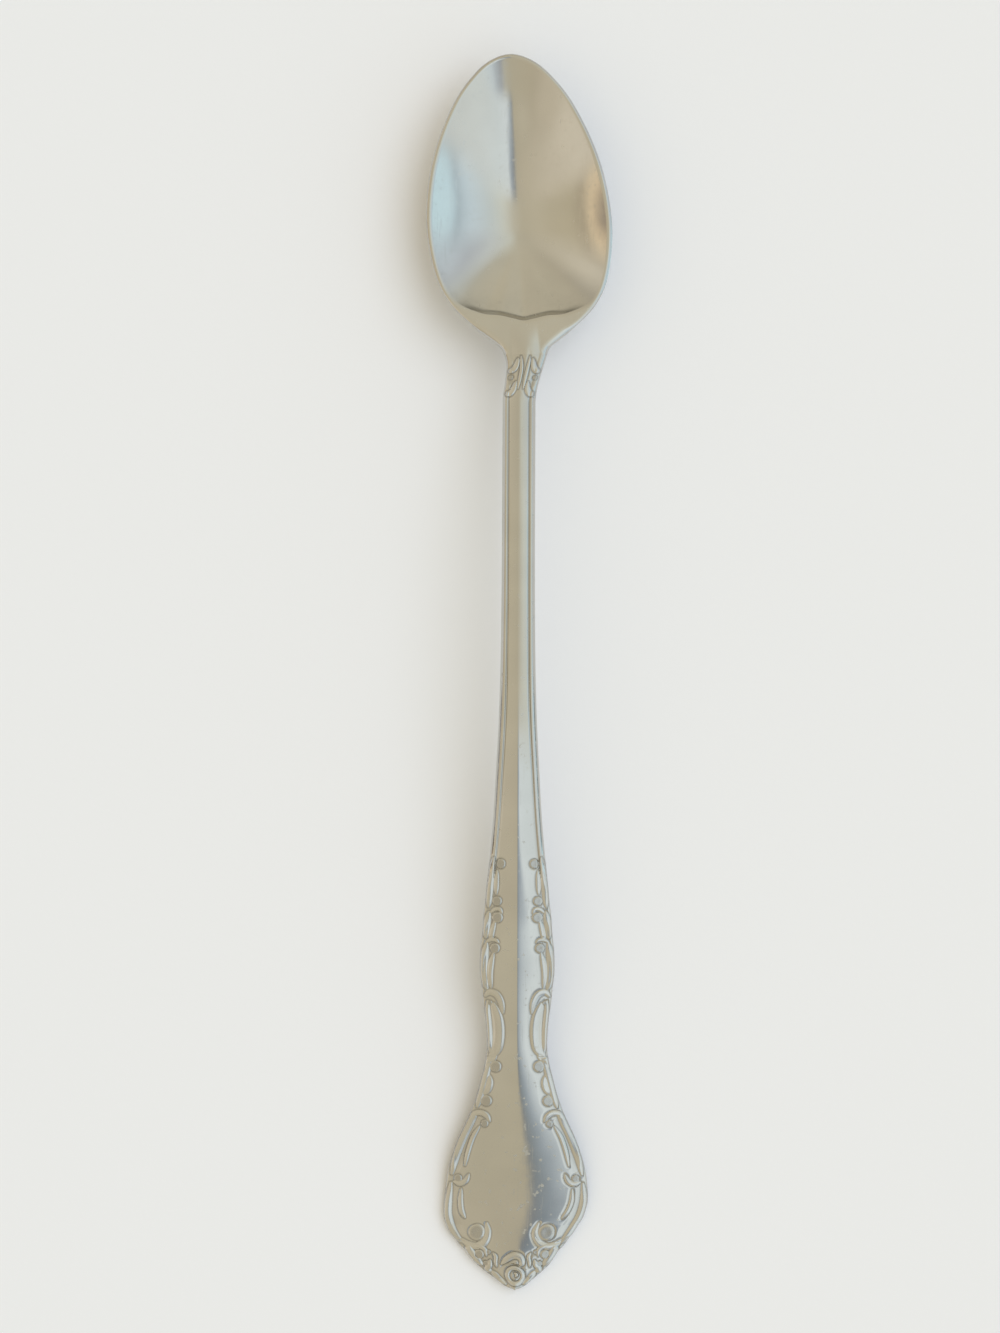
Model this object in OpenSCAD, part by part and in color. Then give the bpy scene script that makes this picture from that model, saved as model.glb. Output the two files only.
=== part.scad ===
// Iced tea spoon of coined stainless steel: an egg-shaped bowl, a long arched stem and a scroll handle.
// It lies on a table as in use: X runs across it, Y along it towards the tip of the bowl, Z up.
// Places along the spoon are measured from the tip of the handle, and the origin is below the middle.

/* [Bowl] */
// Length of the bowl from the end of the neck to its tip
bowl_l = 46.5; // [38:0.5:60]
// Greatest width of the bowl over its rim
bowl_w = 28.8; // [22:0.2:34]
// Height of the rim above the table along the sides of the bowl
rim_h = 8.2; // [6:0.1:10]
// Thickness of the bowl at its lowest place
floor_t = 1.2; // [0.8:0.1:2]
// Width of the ground top face of the rim
rim_w = 0.9; // [0.5:0.1:1.4]
// Height of the outer edge of the rim
rim_edge = 0.5; // [0.3:0.05:0.8]
// Distance from the neck to the hollow, taken up by the shoulder
shoulder_l = 5.9; // [4:0.1:8]
// Angle by which the bowl is turned from the line of the handle
bowl_turn = 3; // [0:0.5:5]

/* [Neck] */
// Length of the neck between the stem and the bowl
neck_l = 7.5; // [5:0.5:12]
// Width of the neck where it meets the bowl
neck_w = 6.6; // [6:0.1:8]
// Thickness of the neck where it meets the bowl
neck_t = 3.2; // [2.6:0.1:4]

/* [Stem] */
// Length of the slender part of the stem
stem_l = 72; // [50:1:110]
// Width of the stem where it is narrowest
stem_w = 5.1; // [4.2:0.1:6]
// Thickness of the stem
stem_t = 2.4; // [2:0.1:3.2]
// Width of the bead along each edge of the stem
bead_w = 0.95; // [0.6:0.05:1.2]
// Height of the bead above the groove beside it
bead_h = 0.3; // [0.15:0.05:0.5]
// Height of the convex middle rib over the groove
rib_crown = 0.3; // [0.1:0.05:0.5]

/* [Handle] */
// Length of the ornamented handle
handle_l = 68; // [55:1:85]
// Greatest width of the handle
handle_w = 22.8; // [18:0.1:28]
// Thickness of the handle
handle_t = 1.9; // [1.5:0.1:2.6]
// Height of the crown across the handle's panel
panel_crown = 0.45; // [0.2:0.05:0.8]
// Greatest height of the underside above the table
arch_h = 11.4; // [8:0.1:15]
// Small rounding of the handle's and stem's edges
edge_round = 0.3; // [0.15:0.05:0.5]

/* [Ornament] */
// Width of a scroll ridge
ridge_w = 0.85; // [0.6:0.05:1.1]
// Height of a scroll ridge above the panel
ridge_h = 0.36; // [0.2:0.02:0.5]
// Radius of the small bosses in the scrolls
boss_r = 0.9; // [0.6:0.05:1.2]
// Length of the crest at the tip of the handle
crest_l = 7; // [5:0.2:10]
// Gap under the raised ornament
seat_gap = 0.03; // [0.02:0.01:0.05]

/* [Hidden] */

stem_s = handle_l;
neck_s = stem_s + stem_l;
bowl_s = neck_s + neck_l;
spoon_l = bowl_s + bowl_l;

// Half width of the handle: place from the tip, share of half the greatest width
handle_shares = [
    [0, 0.09], [0.02, 0.235], [0.039, 0.38], [0.058, 0.51], [0.077, 0.6], [0.092, 0.66], [0.1, 0.715],
    [0.115, 0.78], [0.131, 0.86], [0.15, 0.922], [0.168, 0.97], [0.187, 0.99], [0.206, 1], [0.242, 0.985],
    [0.279, 0.957], [0.316, 0.9], [0.353, 0.824], [0.39, 0.725], [0.426, 0.633], [0.463, 0.556],
    [0.5, 0.5], [0.537, 0.446], [0.575, 0.415], [0.61, 0.419], [0.647, 0.437], [0.684, 0.468],
    [0.72, 0.487], [0.757, 0.51], [0.813, 0.502], [0.85, 0.478], [0.887, 0.464], [0.924, 0.437],
    [0.96, 0.42], [1, 0.39]];
// Lean of the handle's end to the left: place along the handle, share of half its greatest width
lean_shares = [
    [0, -0.02], [0.03, -0.035], [0.075, -0.06], [0.135, -0.072], [0.17, -0.045], [0.21, -0.01],
    [0.25, 0], [1, 0]];
// Flare of the stem towards the handle: place along the stem, share of the flare that is left
flare_shares = [
    [0, 1], [0.06, 0.79], [0.125, 0.6], [0.21, 0.42], [0.3, 0.24], [0.39, 0.12], [0.47, 0.06], [0.57, 0.02],
    [0.7, 0], [1, 0]];
// Flare of the neck towards the bowl
neck_shares = [[0, 0], [0.3, 0.04], [0.55, 0.16], [0.8, 0.48], [1, 1]];
// Height of the underside: place along the handle, stem and neck, share of the arch height
arch_shares = [
    [0, 0.04], [0.012, 0], [0.07, 0], [0.136, 0.08], [0.27, 0.345], [0.41, 0.655], [0.54, 0.875],
    [0.66, 0.985], [0.75, 1], [0.85, 0.93], [0.95, 0.75], [1, 0.62]];
// Outer edge of the bowl, from the corner of the neck joint round to the tip: shares of half width, length
rim_shares = [
    [0.285, 0.03], [0.52, 0.086], [0.784, 0.168], [0.934, 0.269], [1, 0.42], [0.957, 0.572],
    [0.836, 0.708], [0.63, 0.843], [0.42, 0.929], [0.225, 0.979], [0, 1]];
// Edge of the hollow, from the middle of its neck end to its tip: shares of half its width, of its length
hollow_shares = [
    [0, 0], [0.16, 0.003], [0.29, 0.008], [0.46, 0.022], [0.75, 0.072], [0.926, 0.178], [1, 0.344],
    [0.953, 0.518], [0.828, 0.673], [0.618, 0.826], [0.403, 0.923], [0.208, 0.979], [0, 1]];
// Rings of the hollow and of the underside, as shares of the way from the deepest place to the edge
hollow_ring_shares = [0.97, 0.92, 0.85, 0.76, 0.65, 0.52, 0.38, 0.24, 0.1];
under_ring_shares = [0.12, 0.28, 0.44, 0.58, 0.7, 0.8, 0.88, 0.94, 0.98, 1];
// Place of the bowl's deepest point and the place about which the bowl is turned, as shares of its length
deep_share = 0.44;
pivot_share = 0.4;
// Stations along the handle, closer where its outline turns fast
handle_station_shares = [
    0, 0.012, 0.026, 0.042, 0.058, 0.076, 0.09, 0.1, 0.112, 0.13, 0.15, 0.17, 0.19, 0.215, 0.24, 0.27,
    0.3, 0.33, 0.36, 0.39, 0.42, 0.45, 0.48, 0.51, 0.545, 0.58, 0.615, 0.65, 0.69, 0.73, 0.77, 0.81,
    0.85, 0.89, 0.93, 0.965, 1];
stem_steps = 18;
neck_steps = 8;
rim_steps = 3;
// Columns across the middle panel, as shares of its half width
panel_shares = [0, 0.4, 0.75, 1];

steel = "#c4c3be";
bright = "#d6d7d4";

function ease(t) = let (u = min(1, max(0, t))) u * u * (3 - 2 * u);
function mix(a, b, t) = a + (b - a) * t;

// Smooth curve through a table of [place, value] pairs
function span(table, t, i = 0) = i >= len(table) - 2 || t < table[i + 1][0] ? i : span(table, t, i + 1);
function slope(table, i) =
    let (a = table[max(0, i - 1)], b = table[min(len(table) - 1, i + 1)]) (b[1] - a[1]) / (b[0] - a[0]);
function smooth(table, t) =
    let (
        i = span(table, t),
        a = table[i],
        b = table[i + 1],
        h = b[0] - a[0],
        k = min(1, max(0, (t - a[0]) / h)),
        rise = mix(a[1], b[1], k * k * (3 - 2 * k))
    )
    rise + h * k * (1 - k) * ((1 - k) * slope(table, i) - k * slope(table, i + 1));

// Smooth curve through points, and the same for half an outline whose mirror image carries it on at its tip
function four(a, b, c, d, t) =
    b + 0.5 * t * (c - a + t * (2 * a - 5 * b + 4 * c - d + t * (3 * (b - c) + d - a)));
function end_of(p, i) =
    i < 0 ? 2 * p[0] - p[1] : i >= len(p) ? 2 * p[len(p) - 1] - p[len(p) - 2] : p[i];
function spline(p, steps) = [
    for (i = [0 : len(p) - 2], k = [0 : steps - 1])
        four(end_of(p, i - 1), p[i], p[i + 1], end_of(p, i + 2), k / steps),
    p[len(p) - 1]];
function flip(p) = [-p[0], p[1]];
function round_tip(p, i) = i >= len(p) ? flip(p[len(p) - 2]) : end_of(p, i);
function half_outline(p, steps, before) = [
    for (i = [0 : len(p) - 2], k = [0 : steps - 1])
        four(i == 0 ? before : p[i - 1], p[i], p[i + 1], round_tip(p, i + 2), k / steps),
    p[len(p) - 1]];

// Sideways place of the spoon's middle line: leaning at the handle's end, straight, then turned in the bowl
turn_slope = tan(bowl_turn);
joint_shift = turn_slope * pivot_share * bowl_l;
function middle_x(s) =
    let (t = min(1, max(0, (s - neck_s) / neck_l)))
    s < handle_l ? smooth(lean_shares, s / handle_l) * handle_w / 2
    : s > bowl_s
        ? joint_shift - turn_slope * (s - bowl_s)
        : joint_shift * t * t * (3 - 2 * t) + turn_slope * neck_l * t * t * (1 - t);
function place(x, s, z) = [x + middle_x(s), s - spoon_l / 2, z];

// Sizes of the handle, stem and neck at a place along them
handle_end = handle_shares[len(handle_shares) - 1][1] * handle_w / 2;
function half_w(s) =
    s < stem_s ? smooth(handle_shares, s / handle_l) * handle_w / 2
    : s < neck_s ? mix(stem_w / 2, handle_end, smooth(flare_shares, (s - stem_s) / stem_l))
    : mix(stem_w / 2, neck_w / 2, smooth(neck_shares, (s - neck_s) / neck_l));
function under_z(s) = max(0, smooth(arch_shares, s / bowl_s)) * arch_h;
function thick(s) =
    s < stem_s ? mix(handle_t, stem_t, ease(s / handle_l)) : mix(stem_t, neck_t, ease((s - neck_s) / neck_l));
function crown(s) = mix(panel_crown, rib_crown, ease(s / handle_l));
function bead_share(s) =
    s < stem_s ? ease(1 - (stem_s - s) / (bead_fade_share * handle_l))
    : 1 - ease((s - neck_s) / (bead_end_share * neck_l));
bead_fade_share = 0.05;
bead_end_share = 0.4;
joint_top = under_z(bowl_s) + neck_t;
function panel_half(s) = half_w(s) - bead_w * panel_gap_share;
panel_gap_share = 1.2;
function top_z(s, x) =
    let (p = max(panel_half(s), half_w(s) / 2), q = min(1, abs(x) / p))
    under_z(s) + thick(s) - crown(s) * q * q;

// Right half of a cross section: [x, top, bottom] from the middle to the edge
bead_shares = [[1, -0.7], [0.72, 0.75], [0.45, 1], [0.15, 0.45]];
function half_section(s) =
    let (
        w = half_w(s),
        b = min(bead_w, w / 3),
        p = w - b * panel_gap_share,
        c = crown(s),
        top = under_z(s) + thick(s),
        k = bead_share(s) * bead_h,
        low = under_z(s),
        round_s = min(edge_round, thick(s) / 3)
    )
    concat(
        [for (q = panel_shares) [q * p, top - c * q * q, low]],
        [for (q = bead_shares) [w - q[0] * b, top - c + q[1] * k, low + (q[0] < 0.5 ? round_s * 0.25 : 0)]],
        [[w, top - c - round_s, low + round_s]]);
function ring(s) =
    let (h = half_section(s), n = len(h) - 1)
    concat(
        [for (j = [n : -1 : 1]) place(-h[j][0], s, h[j][1])],
        [for (j = [0 : n]) place(h[j][0], s, h[j][1])],
        [for (j = [n : -1 : 0]) place(h[j][0], s, h[j][2])],
        [for (j = [1 : n]) place(-h[j][0], s, h[j][2])]);

function mean(p) = [for (i = [0 : 2]) [for (q = p) q[i]] * [for (q = p) 1] / len(p)];

// Closed solid through rings of points. Its ends are closed by a fan about their middle, or, where a ring is
// a top row and a bottom row, by the columns between those rows.
module loft(rings, columns = false) {
    n = len(rings[0]);
    m = len(rings);
    last = (m - 1) * n;
    half = n / 2;
    points = concat([for (r = rings) each r], columns ? [] : [mean(rings[0]), mean(rings[m - 1])]);
    sides = [
        for (i = [0 : m - 2], j = [0 : n - 1])
            let (a = i * n + j, b = i * n + (j + 1) % n)
            each [[a, b + n, b], [a, a + n, b + n]]];
    fans = [for (j = [0 : n - 1]) each [[m * n, j, (j + 1) % n], [m * n + 1, last + (j + 1) % n, last + j]]];
    strips = [
        for (j = [0 : half - 2])
            let (a = j, b = j + 1, c = n - 2 - j, d = n - 1 - j)
            each [[a, b, c], [a, c, d], [last + a, last + c, last + b], [last + a, last + d, last + c]]];
    polyhedron(points, concat(sides, columns ? strips : fans));
}

module shank(stations) {
    color(steel) loft([for (s = stations) ring(s)], columns = true);
}

module handle() {
    shank([for (u = handle_station_shares) u * handle_l]);
}

module stem() {
    shank([for (i = [0 : stem_steps]) stem_s + stem_l * i / stem_steps]);
}

module neck() {
    shank([for (i = [0 : neck_steps]) neck_s + neck_l * i / neck_steps]);
}

// Bowl: heights of its rim, of the edge of its hollow and of its underside
hollow_w = bowl_w - 2 * rim_w;
hollow_l = bowl_l - shoulder_l - rim_w;
level_share = 0.3;
tip_lift_share = 0.04;
belly = 1.3;
function rim_z(y) =
    mix(joint_top, rim_h, ease(y / (level_share * bowl_l)))
    + rim_h * tip_lift_share * ease(2 * y / bowl_l - 1);
neck_corner = [neck_w / 2, 0];
rim_curve = concat([neck_corner], [for (p = rim_shares) [p[0] * bowl_w / 2, p[1] * bowl_l]]);
hollow_curve = [for (p = hollow_shares) [p[0] * hollow_w / 2, shoulder_l + p[1] * hollow_l]];
function rim_drop(p) = crown(bowl_s) * (1 - ease(p[1] / shoulder_l)) * min(1, pow(2 * p[0] / neck_w, 2));
function rim_point(p) = [p[0], p[1], rim_z(p[1]) - rim_drop(p)];
rim_half = concat(
    [for (k = [0 : rim_steps - 1]) rim_point(neck_corner * k / rim_steps)],
    [for (p = half_outline(rim_curve, rim_steps, end_of(rim_curve, -1))) rim_point(p)]);
hollow_half = [
    for (p = half_outline(hollow_curve, rim_steps, flip(hollow_curve[1]))) [p[0], p[1], rim_z(p[1])]];
deep = [0, deep_share * bowl_l, 0];
function bulge(r) = 1 - (belly + 1) / belly * (r - (1 - pow(1 - min(1, r), belly + 1)) / (belly + 1));
function from_deep(p, r, z) = [mix(deep[0], p[0], r), mix(deep[1], p[1], r), z];
function hollow_point(i, r) =
    let (p = hollow_half[i])
    from_deep(p, r, p[2] - (p[2] - floor_t) * bulge(r));

// Underside: a smooth shell that follows the hollow at the thickness of the wall, and from its edge a strip
// that runs out to the rim, and at the shoulder to the underside of the neck
function near_neck(i) = ease((norm(rim_half[i] - hollow_half[i]) - 2 * rim_w) / (shoulder_l - 2 * rim_w));
function shell_edge(i) =
    let (
        q = hollow_half[i],
        k = q[1] > deep[1] ? 0 : ease(1 - q[0] / (heel_reach_share * hollow_w / 2)),
        wall = mix(wall_share * rim_w, heel_share * neck_t, k),
        p = mix(q, rim_half[i], wall / norm(rim_half[i] - q))
    )
    [p[0], p[1], p[2] - mix(2 * rim_edge, heel_depth_share * neck_t, k)];
function shell_point(i, r) =
    let (p = shell_edge(i))
    from_deep(p, r, r < flat_share ? 0 : p[2] * (1 - bulge(r)));
function rim_bottom(i) = rim_half[i] - [0, 0, mix(rim_edge, neck_t, near_neck(i))];
wall_share = 0.7;
heel_share = 0.5;
heel_depth_share = 0.85;
heel_reach_share = 0.85;
flat_share = 0.2;
strip_steps = 2;
shoulder_steps = 3;
function mirrored(p) = [-p[0], p[1], p[2]];
function whole(half_ring) =
    concat(half_ring, [for (i = [len(half_ring) - 2 : -1 : 1]) mirrored(half_ring[i])]);
function placed(r) = [for (p = r) place(p[0], bowl_s + p[1], p[2])];

module bowl() {
    n = len(rim_half) - 1;
    hollow_rings = [for (r = hollow_ring_shares) [for (i = [0 : n]) hollow_point(i, r)]];
    rim_rings = [
        for (k = [0 : shoulder_steps])
            [for (i = [0 : n]) mix(rim_half[i], hollow_half[i], k / shoulder_steps)]];
    shell_rings = [for (r = under_ring_shares) [for (i = [0 : n]) shell_point(i, r)]];
    strip_rings = [
        for (k = [1 : strip_steps])
            [for (i = [0 : n]) mix(shell_edge(i), rim_bottom(i), k / strip_steps)]];
    rings = concat(shell_rings, strip_rings, rim_rings, hollow_rings);
    color(bright) loft([for (r = rings) placed(whole(r))]);
}

// Raised ridge that follows the surface below it, through points given as [place along, place across]
dome_steps = 4;
end_width_share = 0.35;
function along(path, i) =
    let (d = path[min(len(path) - 1, i + 1)] - path[max(0, i - 1)]) d / norm(d);
module ridge(points, w = ridge_w, h = ridge_h, steps = 3) {
    path = spline(points, steps);
    n = len(path) - 1;
    loft([
        for (i = [0 : n])
            let (
                t = abs(2 * i / n - 1),
                full = mix(1, end_width_share, pow(t, 4)),
                d = along(path, i)
            )
            [for (j = [0 : dome_steps])
                let (
                    a = 180 * j / dome_steps,
                    off = cos(a) * w / 2 * full,
                    s = path[i][0] + off * d[1],
                    x = path[i][1] - off * d[0]
                )
                place(x, s, top_z(s, x) + seat_gap + sin(a) * h * full)]]);
}

// Low round boss, laid on the slope of the surface below it
boss_fn = 16;
boss_top_share = 0.5;
tilt_reach = 1;
module boss(s, x, r = boss_r, h = ridge_h) {
    rise = top_z(s + tilt_reach, x) - top_z(s - tilt_reach, x);
    translate(place(x, s, top_z(s, x) + 2 * seat_gap))
        rotate([atan(rise / (2 * tilt_reach)), 0, 0])
            hull() {
                cylinder(h = h / 2, r = r, $fn = boss_fn);
                cylinder(h = h, r = r * boss_top_share, $fn = boss_fn);
            }
}

// Scrolls of the border, on the right: the ridge's width and height as shares of the common ones, then its
// places as shares of the way from the crest to the stem and of the half width there
border_shares = [
    [0.8, 0.8, [[0.961, 0.645], [0.933, 0.645], [0.905, 0.63]]],
    [1, 0.9, [[0.983, 0.82], [0.933, 0.85], [0.889, 0.85]]],
    [0.8, 0.9, [[0.847, 0.47], [0.865, 0.64], [0.853, 0.86]]],
    [0.9, 1, [[0.842, 0.84], [0.81, 0.88], [0.783, 0.86]]],
    [0.7, 0.8, [[0.825, 0.64], [0.806, 0.68], [0.79, 0.7]]],
    [0.8, 0.9, [[0.774, 0.5], [0.785, 0.66], [0.775, 0.86]]],
    [0.9, 1, [[0.764, 0.85], [0.725, 0.87], [0.699, 0.89], [0.666, 0.88]]],
    [0.8, 0.9, [[0.741, 0.65], [0.71, 0.67], [0.682, 0.68], [0.657, 0.66]]],
    [1.5, 1.1, [[0.64, 0.68], [0.61, 0.56], [0.576, 0.51], [0.537, 0.5], [0.504, 0.53], [0.479, 0.6]]],
    [0.8, 1, [[0.621, 0.85], [0.588, 0.87], [0.554, 0.88], [0.517, 0.88], [0.493, 0.87]]],
    [0.9, 1, [[0.478, 0.78], [0.456, 0.86], [0.43, 0.9], [0.401, 0.92]]],
    [0.9, 0.9, [[0.443, 0.8], [0.418, 0.72], [0.394, 0.66], [0.371, 0.66], [0.342, 0.72]]],
    [1, 1.1, [
        [0.329, 0.62], [0.345, 0.74], [0.34, 0.86], [0.299, 0.91], [0.258, 0.93], [0.217, 0.935],
        [0.177, 0.93]]],
    [0.9, 1, [[0.312, 0.62], [0.292, 0.7], [0.261, 0.75], [0.23, 0.77], [0.203, 0.775]]],
    [1, 1, [[0.188, 0.78], [0.168, 0.82], [0.166, 0.9]]],
    [1, 1.1, [[0.157, 0.94], [0.108, 0.945], [0.075, 0.93], [0.047, 0.9], [0.021, 0.87], [0.003, 0.87]]],
    [0.9, 1, [[0.147, 0.8], [0.114, 0.78], [0.084, 0.72], [0.064, 0.68]]],
    [0.9, 1, [[0.058, 0.76], [0.028, 0.72], [0.015, 0.6], [0.026, 0.47], [0.05, 0.46]]]];
// Bosses of the border: place along, place across and radius, as shares
border_boss_shares = [
    [0.982, 0.6, 0.95], [0.886, 0.6, 0.85], [0.844, 0.66, 0.85], [0.761, 0.68, 0.85], [0.46, 0.65, 0.95],
    [0.376, 0.76, 0.9], [0.318, 0.67, 0.8], [0.166, 0.72, 0.7], [0.039, 0.59, 1.25]];

function border_place(p, side) =
    let (s = mix(crest_l, handle_l, p[0])) [s, side * p[1] * half_w(s)];
module scroll_border(side) {
    color(bright) {
        for (b = border_shares)
            ridge([for (p = b[2]) border_place(p, side)], w = b[0] * ridge_w, h = b[1] * ridge_h);
        for (b = border_boss_shares)
            let (q = border_place(b, side)) boss(q[0], q[1], r = b[2] * boss_r);
    }
}

module scroll_border_left() {
    scroll_border(-1);
}

module scroll_border_right() {
    scroll_border(1);
}

// Crest at the tip: shares of its length and of half the handle's width
crest_shares = [
    [1, 1, [[0.92, 0.61], [0.72, 0.55], [0.52, 0.42], [0.34, 0.26]]],
    [0.8, 0.9, [[1.02, 0.52], [0.98, 0.4], [0.82, 0.3], [0.68, 0.31]]],
    [0.8, 0.9, [[0.62, 0.24], [0.5, 0.19], [0.4, 0.21]]]];
crest_leaf_shares = [[0.56, -0.2], [0.72, -0.06], [0.82, 0.06], [0.72, 0.14], [0.58, 0.1]];
crest_boss_shares = [[0.84, 0.53, 0.8], [0.75, 0.4, 0.9], [0.55, 0.33, 0.85]];
medallion_share = 0.31;
medallion_r = 1.5;
medallion_w = 0.55;
medallion_steps = 16;
dot_share = 0.35;

module crest() {
    centre = medallion_share * crest_l;
    circle_r = medallion_r - medallion_w / 2;
    color(bright) {
        for (side = [-1, 1]) {
            for (c = crest_shares)
                ridge(
                    [for (p = c[2]) [p[0] * crest_l, side * p[1] * handle_w / 2]],
                    w = c[0] * ridge_w,
                    h = c[1] * ridge_h);
            for (c = crest_boss_shares)
                boss(c[0] * crest_l, side * c[1] * handle_w / 2, r = c[2] * boss_r);
        }
        ridge([for (p = crest_leaf_shares) [p[0] * crest_l, p[1] * handle_w / 2]]);
        for (half = [0, 180])
            ridge(
                [for (a = [0 : 180 / medallion_steps * 2 : 180])
                    [centre + circle_r * cos(a + half), circle_r * sin(a + half)]],
                w = medallion_w,
                steps = 1);
        boss(centre, 0, r = medallion_r - medallion_w, h = ridge_h / 2);
        boss(centre, 0, r = medallion_r * dot_share, h = ridge_h);
    }
}

// Leaf scrolls and flutes of the neck: shares of the neck's length and of its half width there
neck_curl_shares = [
    [[0.69, 0.76], [0.76, 0.5], [0.88, 0.22]],
    [[0.22, 0.74], [0.31, 0.48], [0.42, 0.2]]];
neck_boss_shares = [[0.6, 0.55, 0.45], [0.12, 0.5, 0.45]];
flute_shares = [-0.36, -0.12, 0.12, 0.36];
flute_start_share = 0.6;
flute_end_share = 0.97;
flute_w = 0.36;

module neck_scrolls() {
    color(bright) {
        for (side = [-1, 1]) {
            for (c = neck_curl_shares)
                ridge(
                    [for (p = c) [neck_s + p[0] * neck_l, side * p[1] * half_w(neck_s + p[0] * neck_l)]],
                    w = ridge_w * 0.7,
                    h = ridge_h * 0.8);
            for (b = neck_boss_shares)
                boss(
                    neck_s + b[0] * neck_l,
                    side * b[1] * half_w(neck_s + b[0] * neck_l),
                    r = b[2] * boss_r,
                    h = ridge_h * 0.7);
        }
        for (q = flute_shares)
            hull()
                for (u = [flute_start_share, flute_end_share]) {
                    s = neck_s + u * neck_l;
                    x = q * half_w(neck_s + flute_start_share * neck_l);
                    translate(place(x, s, top_z(s, x) + 2 * seat_gap))
                        cylinder(h = flute_w / 2, r1 = flute_w / 2, r2 = flute_w / 4, $fn = boss_fn / 2);
                }
    }
}

bowl();
neck();
stem();
handle();
neck_scrolls();
scroll_border_left();
scroll_border_right();
crest();
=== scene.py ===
# %% [markdown]
# # An iced tea spoon of coined stainless steel
# The spoon is one piece of steel. Its blank is cut from sheet, the bowl is pressed, the long handle is struck
# between two dies that also raise the scrolls, and then everything is polished.
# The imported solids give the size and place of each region: bowl, neck, stem, handle and the raised ornament.
# They are loaded first and never moved. Every piece below is modelled round them, in the same frame, in metres.

# %% Load the solids
import math

import bpy
import numpy as np
from mathutils import Matrix, Vector, kdtree


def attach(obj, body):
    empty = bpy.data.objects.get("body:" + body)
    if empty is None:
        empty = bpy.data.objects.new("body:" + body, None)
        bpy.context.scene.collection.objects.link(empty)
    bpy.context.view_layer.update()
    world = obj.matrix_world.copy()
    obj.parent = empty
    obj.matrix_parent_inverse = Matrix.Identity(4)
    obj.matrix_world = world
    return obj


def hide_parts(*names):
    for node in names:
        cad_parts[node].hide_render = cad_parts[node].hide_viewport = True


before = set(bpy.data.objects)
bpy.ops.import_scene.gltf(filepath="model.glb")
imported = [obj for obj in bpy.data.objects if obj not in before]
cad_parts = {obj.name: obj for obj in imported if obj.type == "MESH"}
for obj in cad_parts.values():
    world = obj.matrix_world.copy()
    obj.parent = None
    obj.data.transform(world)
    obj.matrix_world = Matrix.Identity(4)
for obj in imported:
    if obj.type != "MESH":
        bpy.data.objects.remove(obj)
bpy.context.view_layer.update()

# %% [markdown]
# ## Sizes
# A spoon maker's drawing gives the width, thickness and height at stations along the middle line. The same
# numbers are kept here in millimetres. "Station" always means the distance from the tip of the handle.
# The middle of the spoon's length is the frame's origin, so a station less half the length is the Y coordinate.
# The bowl's width and the arch are a hair under the solids', so that the polished skin stays inside them.

# %% The drawing's main sizes, in millimetres
MM = 0.001
HANDLE, STEM, NECK, BOWL = 68.0, 72.0, 7.5, 46.5
STEM_AT, NECK_AT = HANDLE, HANDLE + STEM
BOWL_AT = NECK_AT + NECK
LENGTH = BOWL_AT + BOWL
BOWL_WIDE, RIM_HIGH, RIM_WIDE, FLOOR_THICK, SHOULDER = 28.77, 8.2, 0.9, 1.2, 5.9
NECK_WIDE, NECK_THICK, STEM_WIDE, STEM_THICK = 6.6, 3.2, 5.1, 2.4
HANDLE_WIDE, HANDLE_THICK, ARCH = 22.8, 1.9, 11.39
PANEL_CROWN, RIB_CROWN, BEAD_WIDE, BEAD_HIGH = 0.45, 0.3, 0.95, 0.3
TURN = math.tan(math.radians(3))
PIVOT = 0.4 * BOWL
print("length", LENGTH, "mm, bowl from station", BOWL_AT)

# %% [markdown]
# ## Smooth lines through a few stations
# A die is filed to a fair curve, so each table holds only a few stations and a smooth line joins them.
# The line's slope at a station is the slope between its two neighbours, which keeps it free of corners.


# %% Fair curves
def fair(table):
    place, value = np.array(table, float).T
    last = len(place) - 1
    low, high = np.maximum(np.arange(last + 1) - 1, 0), np.minimum(np.arange(last + 1) + 1, last)
    slope = (value[high] - value[low]) / (place[high] - place[low])

    def at(t):
        t = np.asarray(t, float)
        i = np.clip(np.searchsorted(place, t, side="right") - 1, 0, last - 1)
        step = place[i + 1] - place[i]
        k = np.clip((t - place[i]) / step, 0, 1)
        rise = value[i] + (value[i + 1] - value[i]) * k * k * (3 - 2 * k)
        return rise + step * k * (1 - k) * ((1 - k) * slope[i] - k * slope[i + 1])

    return at


def ease(t):
    u = np.clip(t, 0, 1)
    return u * u * (3 - 2 * u)


def mix(a, b, t):
    return a + (b - a) * t


def soft_step(t, start, end):
    """0 before the start, 1 after the end, and a smooth rise between."""
    return ease((t - start) / (end - start))


def through(p, steps):
    """A fair line through all points but the first and the last, which only steer its ends."""
    t = np.arange(steps)[:, None] / steps
    spans = []
    for a, b, c, d in zip(p[:-3], p[1:-2], p[2:-1], p[3:]):
        spans.append(b + 0.5 * t * (c - a + t * (2 * a - 5 * b + 4 * c - d + t * (3 * (b - c) + d - a))))
    return np.vstack(spans + [p[-2:-1]])


handle_shape = fair([
    [0, 0.09], [0.02, 0.235], [0.039, 0.38], [0.058, 0.51], [0.077, 0.6], [0.092, 0.66], [0.1, 0.715],
    [0.115, 0.78], [0.131, 0.86], [0.15, 0.922], [0.168, 0.97], [0.187, 0.99], [0.206, 1], [0.242, 0.985],
    [0.279, 0.957], [0.316, 0.9], [0.353, 0.824], [0.39, 0.725], [0.426, 0.633], [0.463, 0.556],
    [0.5, 0.5], [0.537, 0.446], [0.575, 0.415], [0.61, 0.419], [0.647, 0.437], [0.684, 0.468],
    [0.72, 0.487], [0.757, 0.51], [0.813, 0.502], [0.85, 0.478], [0.887, 0.464], [0.924, 0.437],
    [0.96, 0.42], [1, 0.39]])
stem_flare = fair([
    [0, 1], [0.06, 0.79], [0.125, 0.6], [0.21, 0.42], [0.3, 0.24], [0.39, 0.12], [0.47, 0.06], [0.57, 0.02],
    [0.7, 0], [1, 0]])
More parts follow.
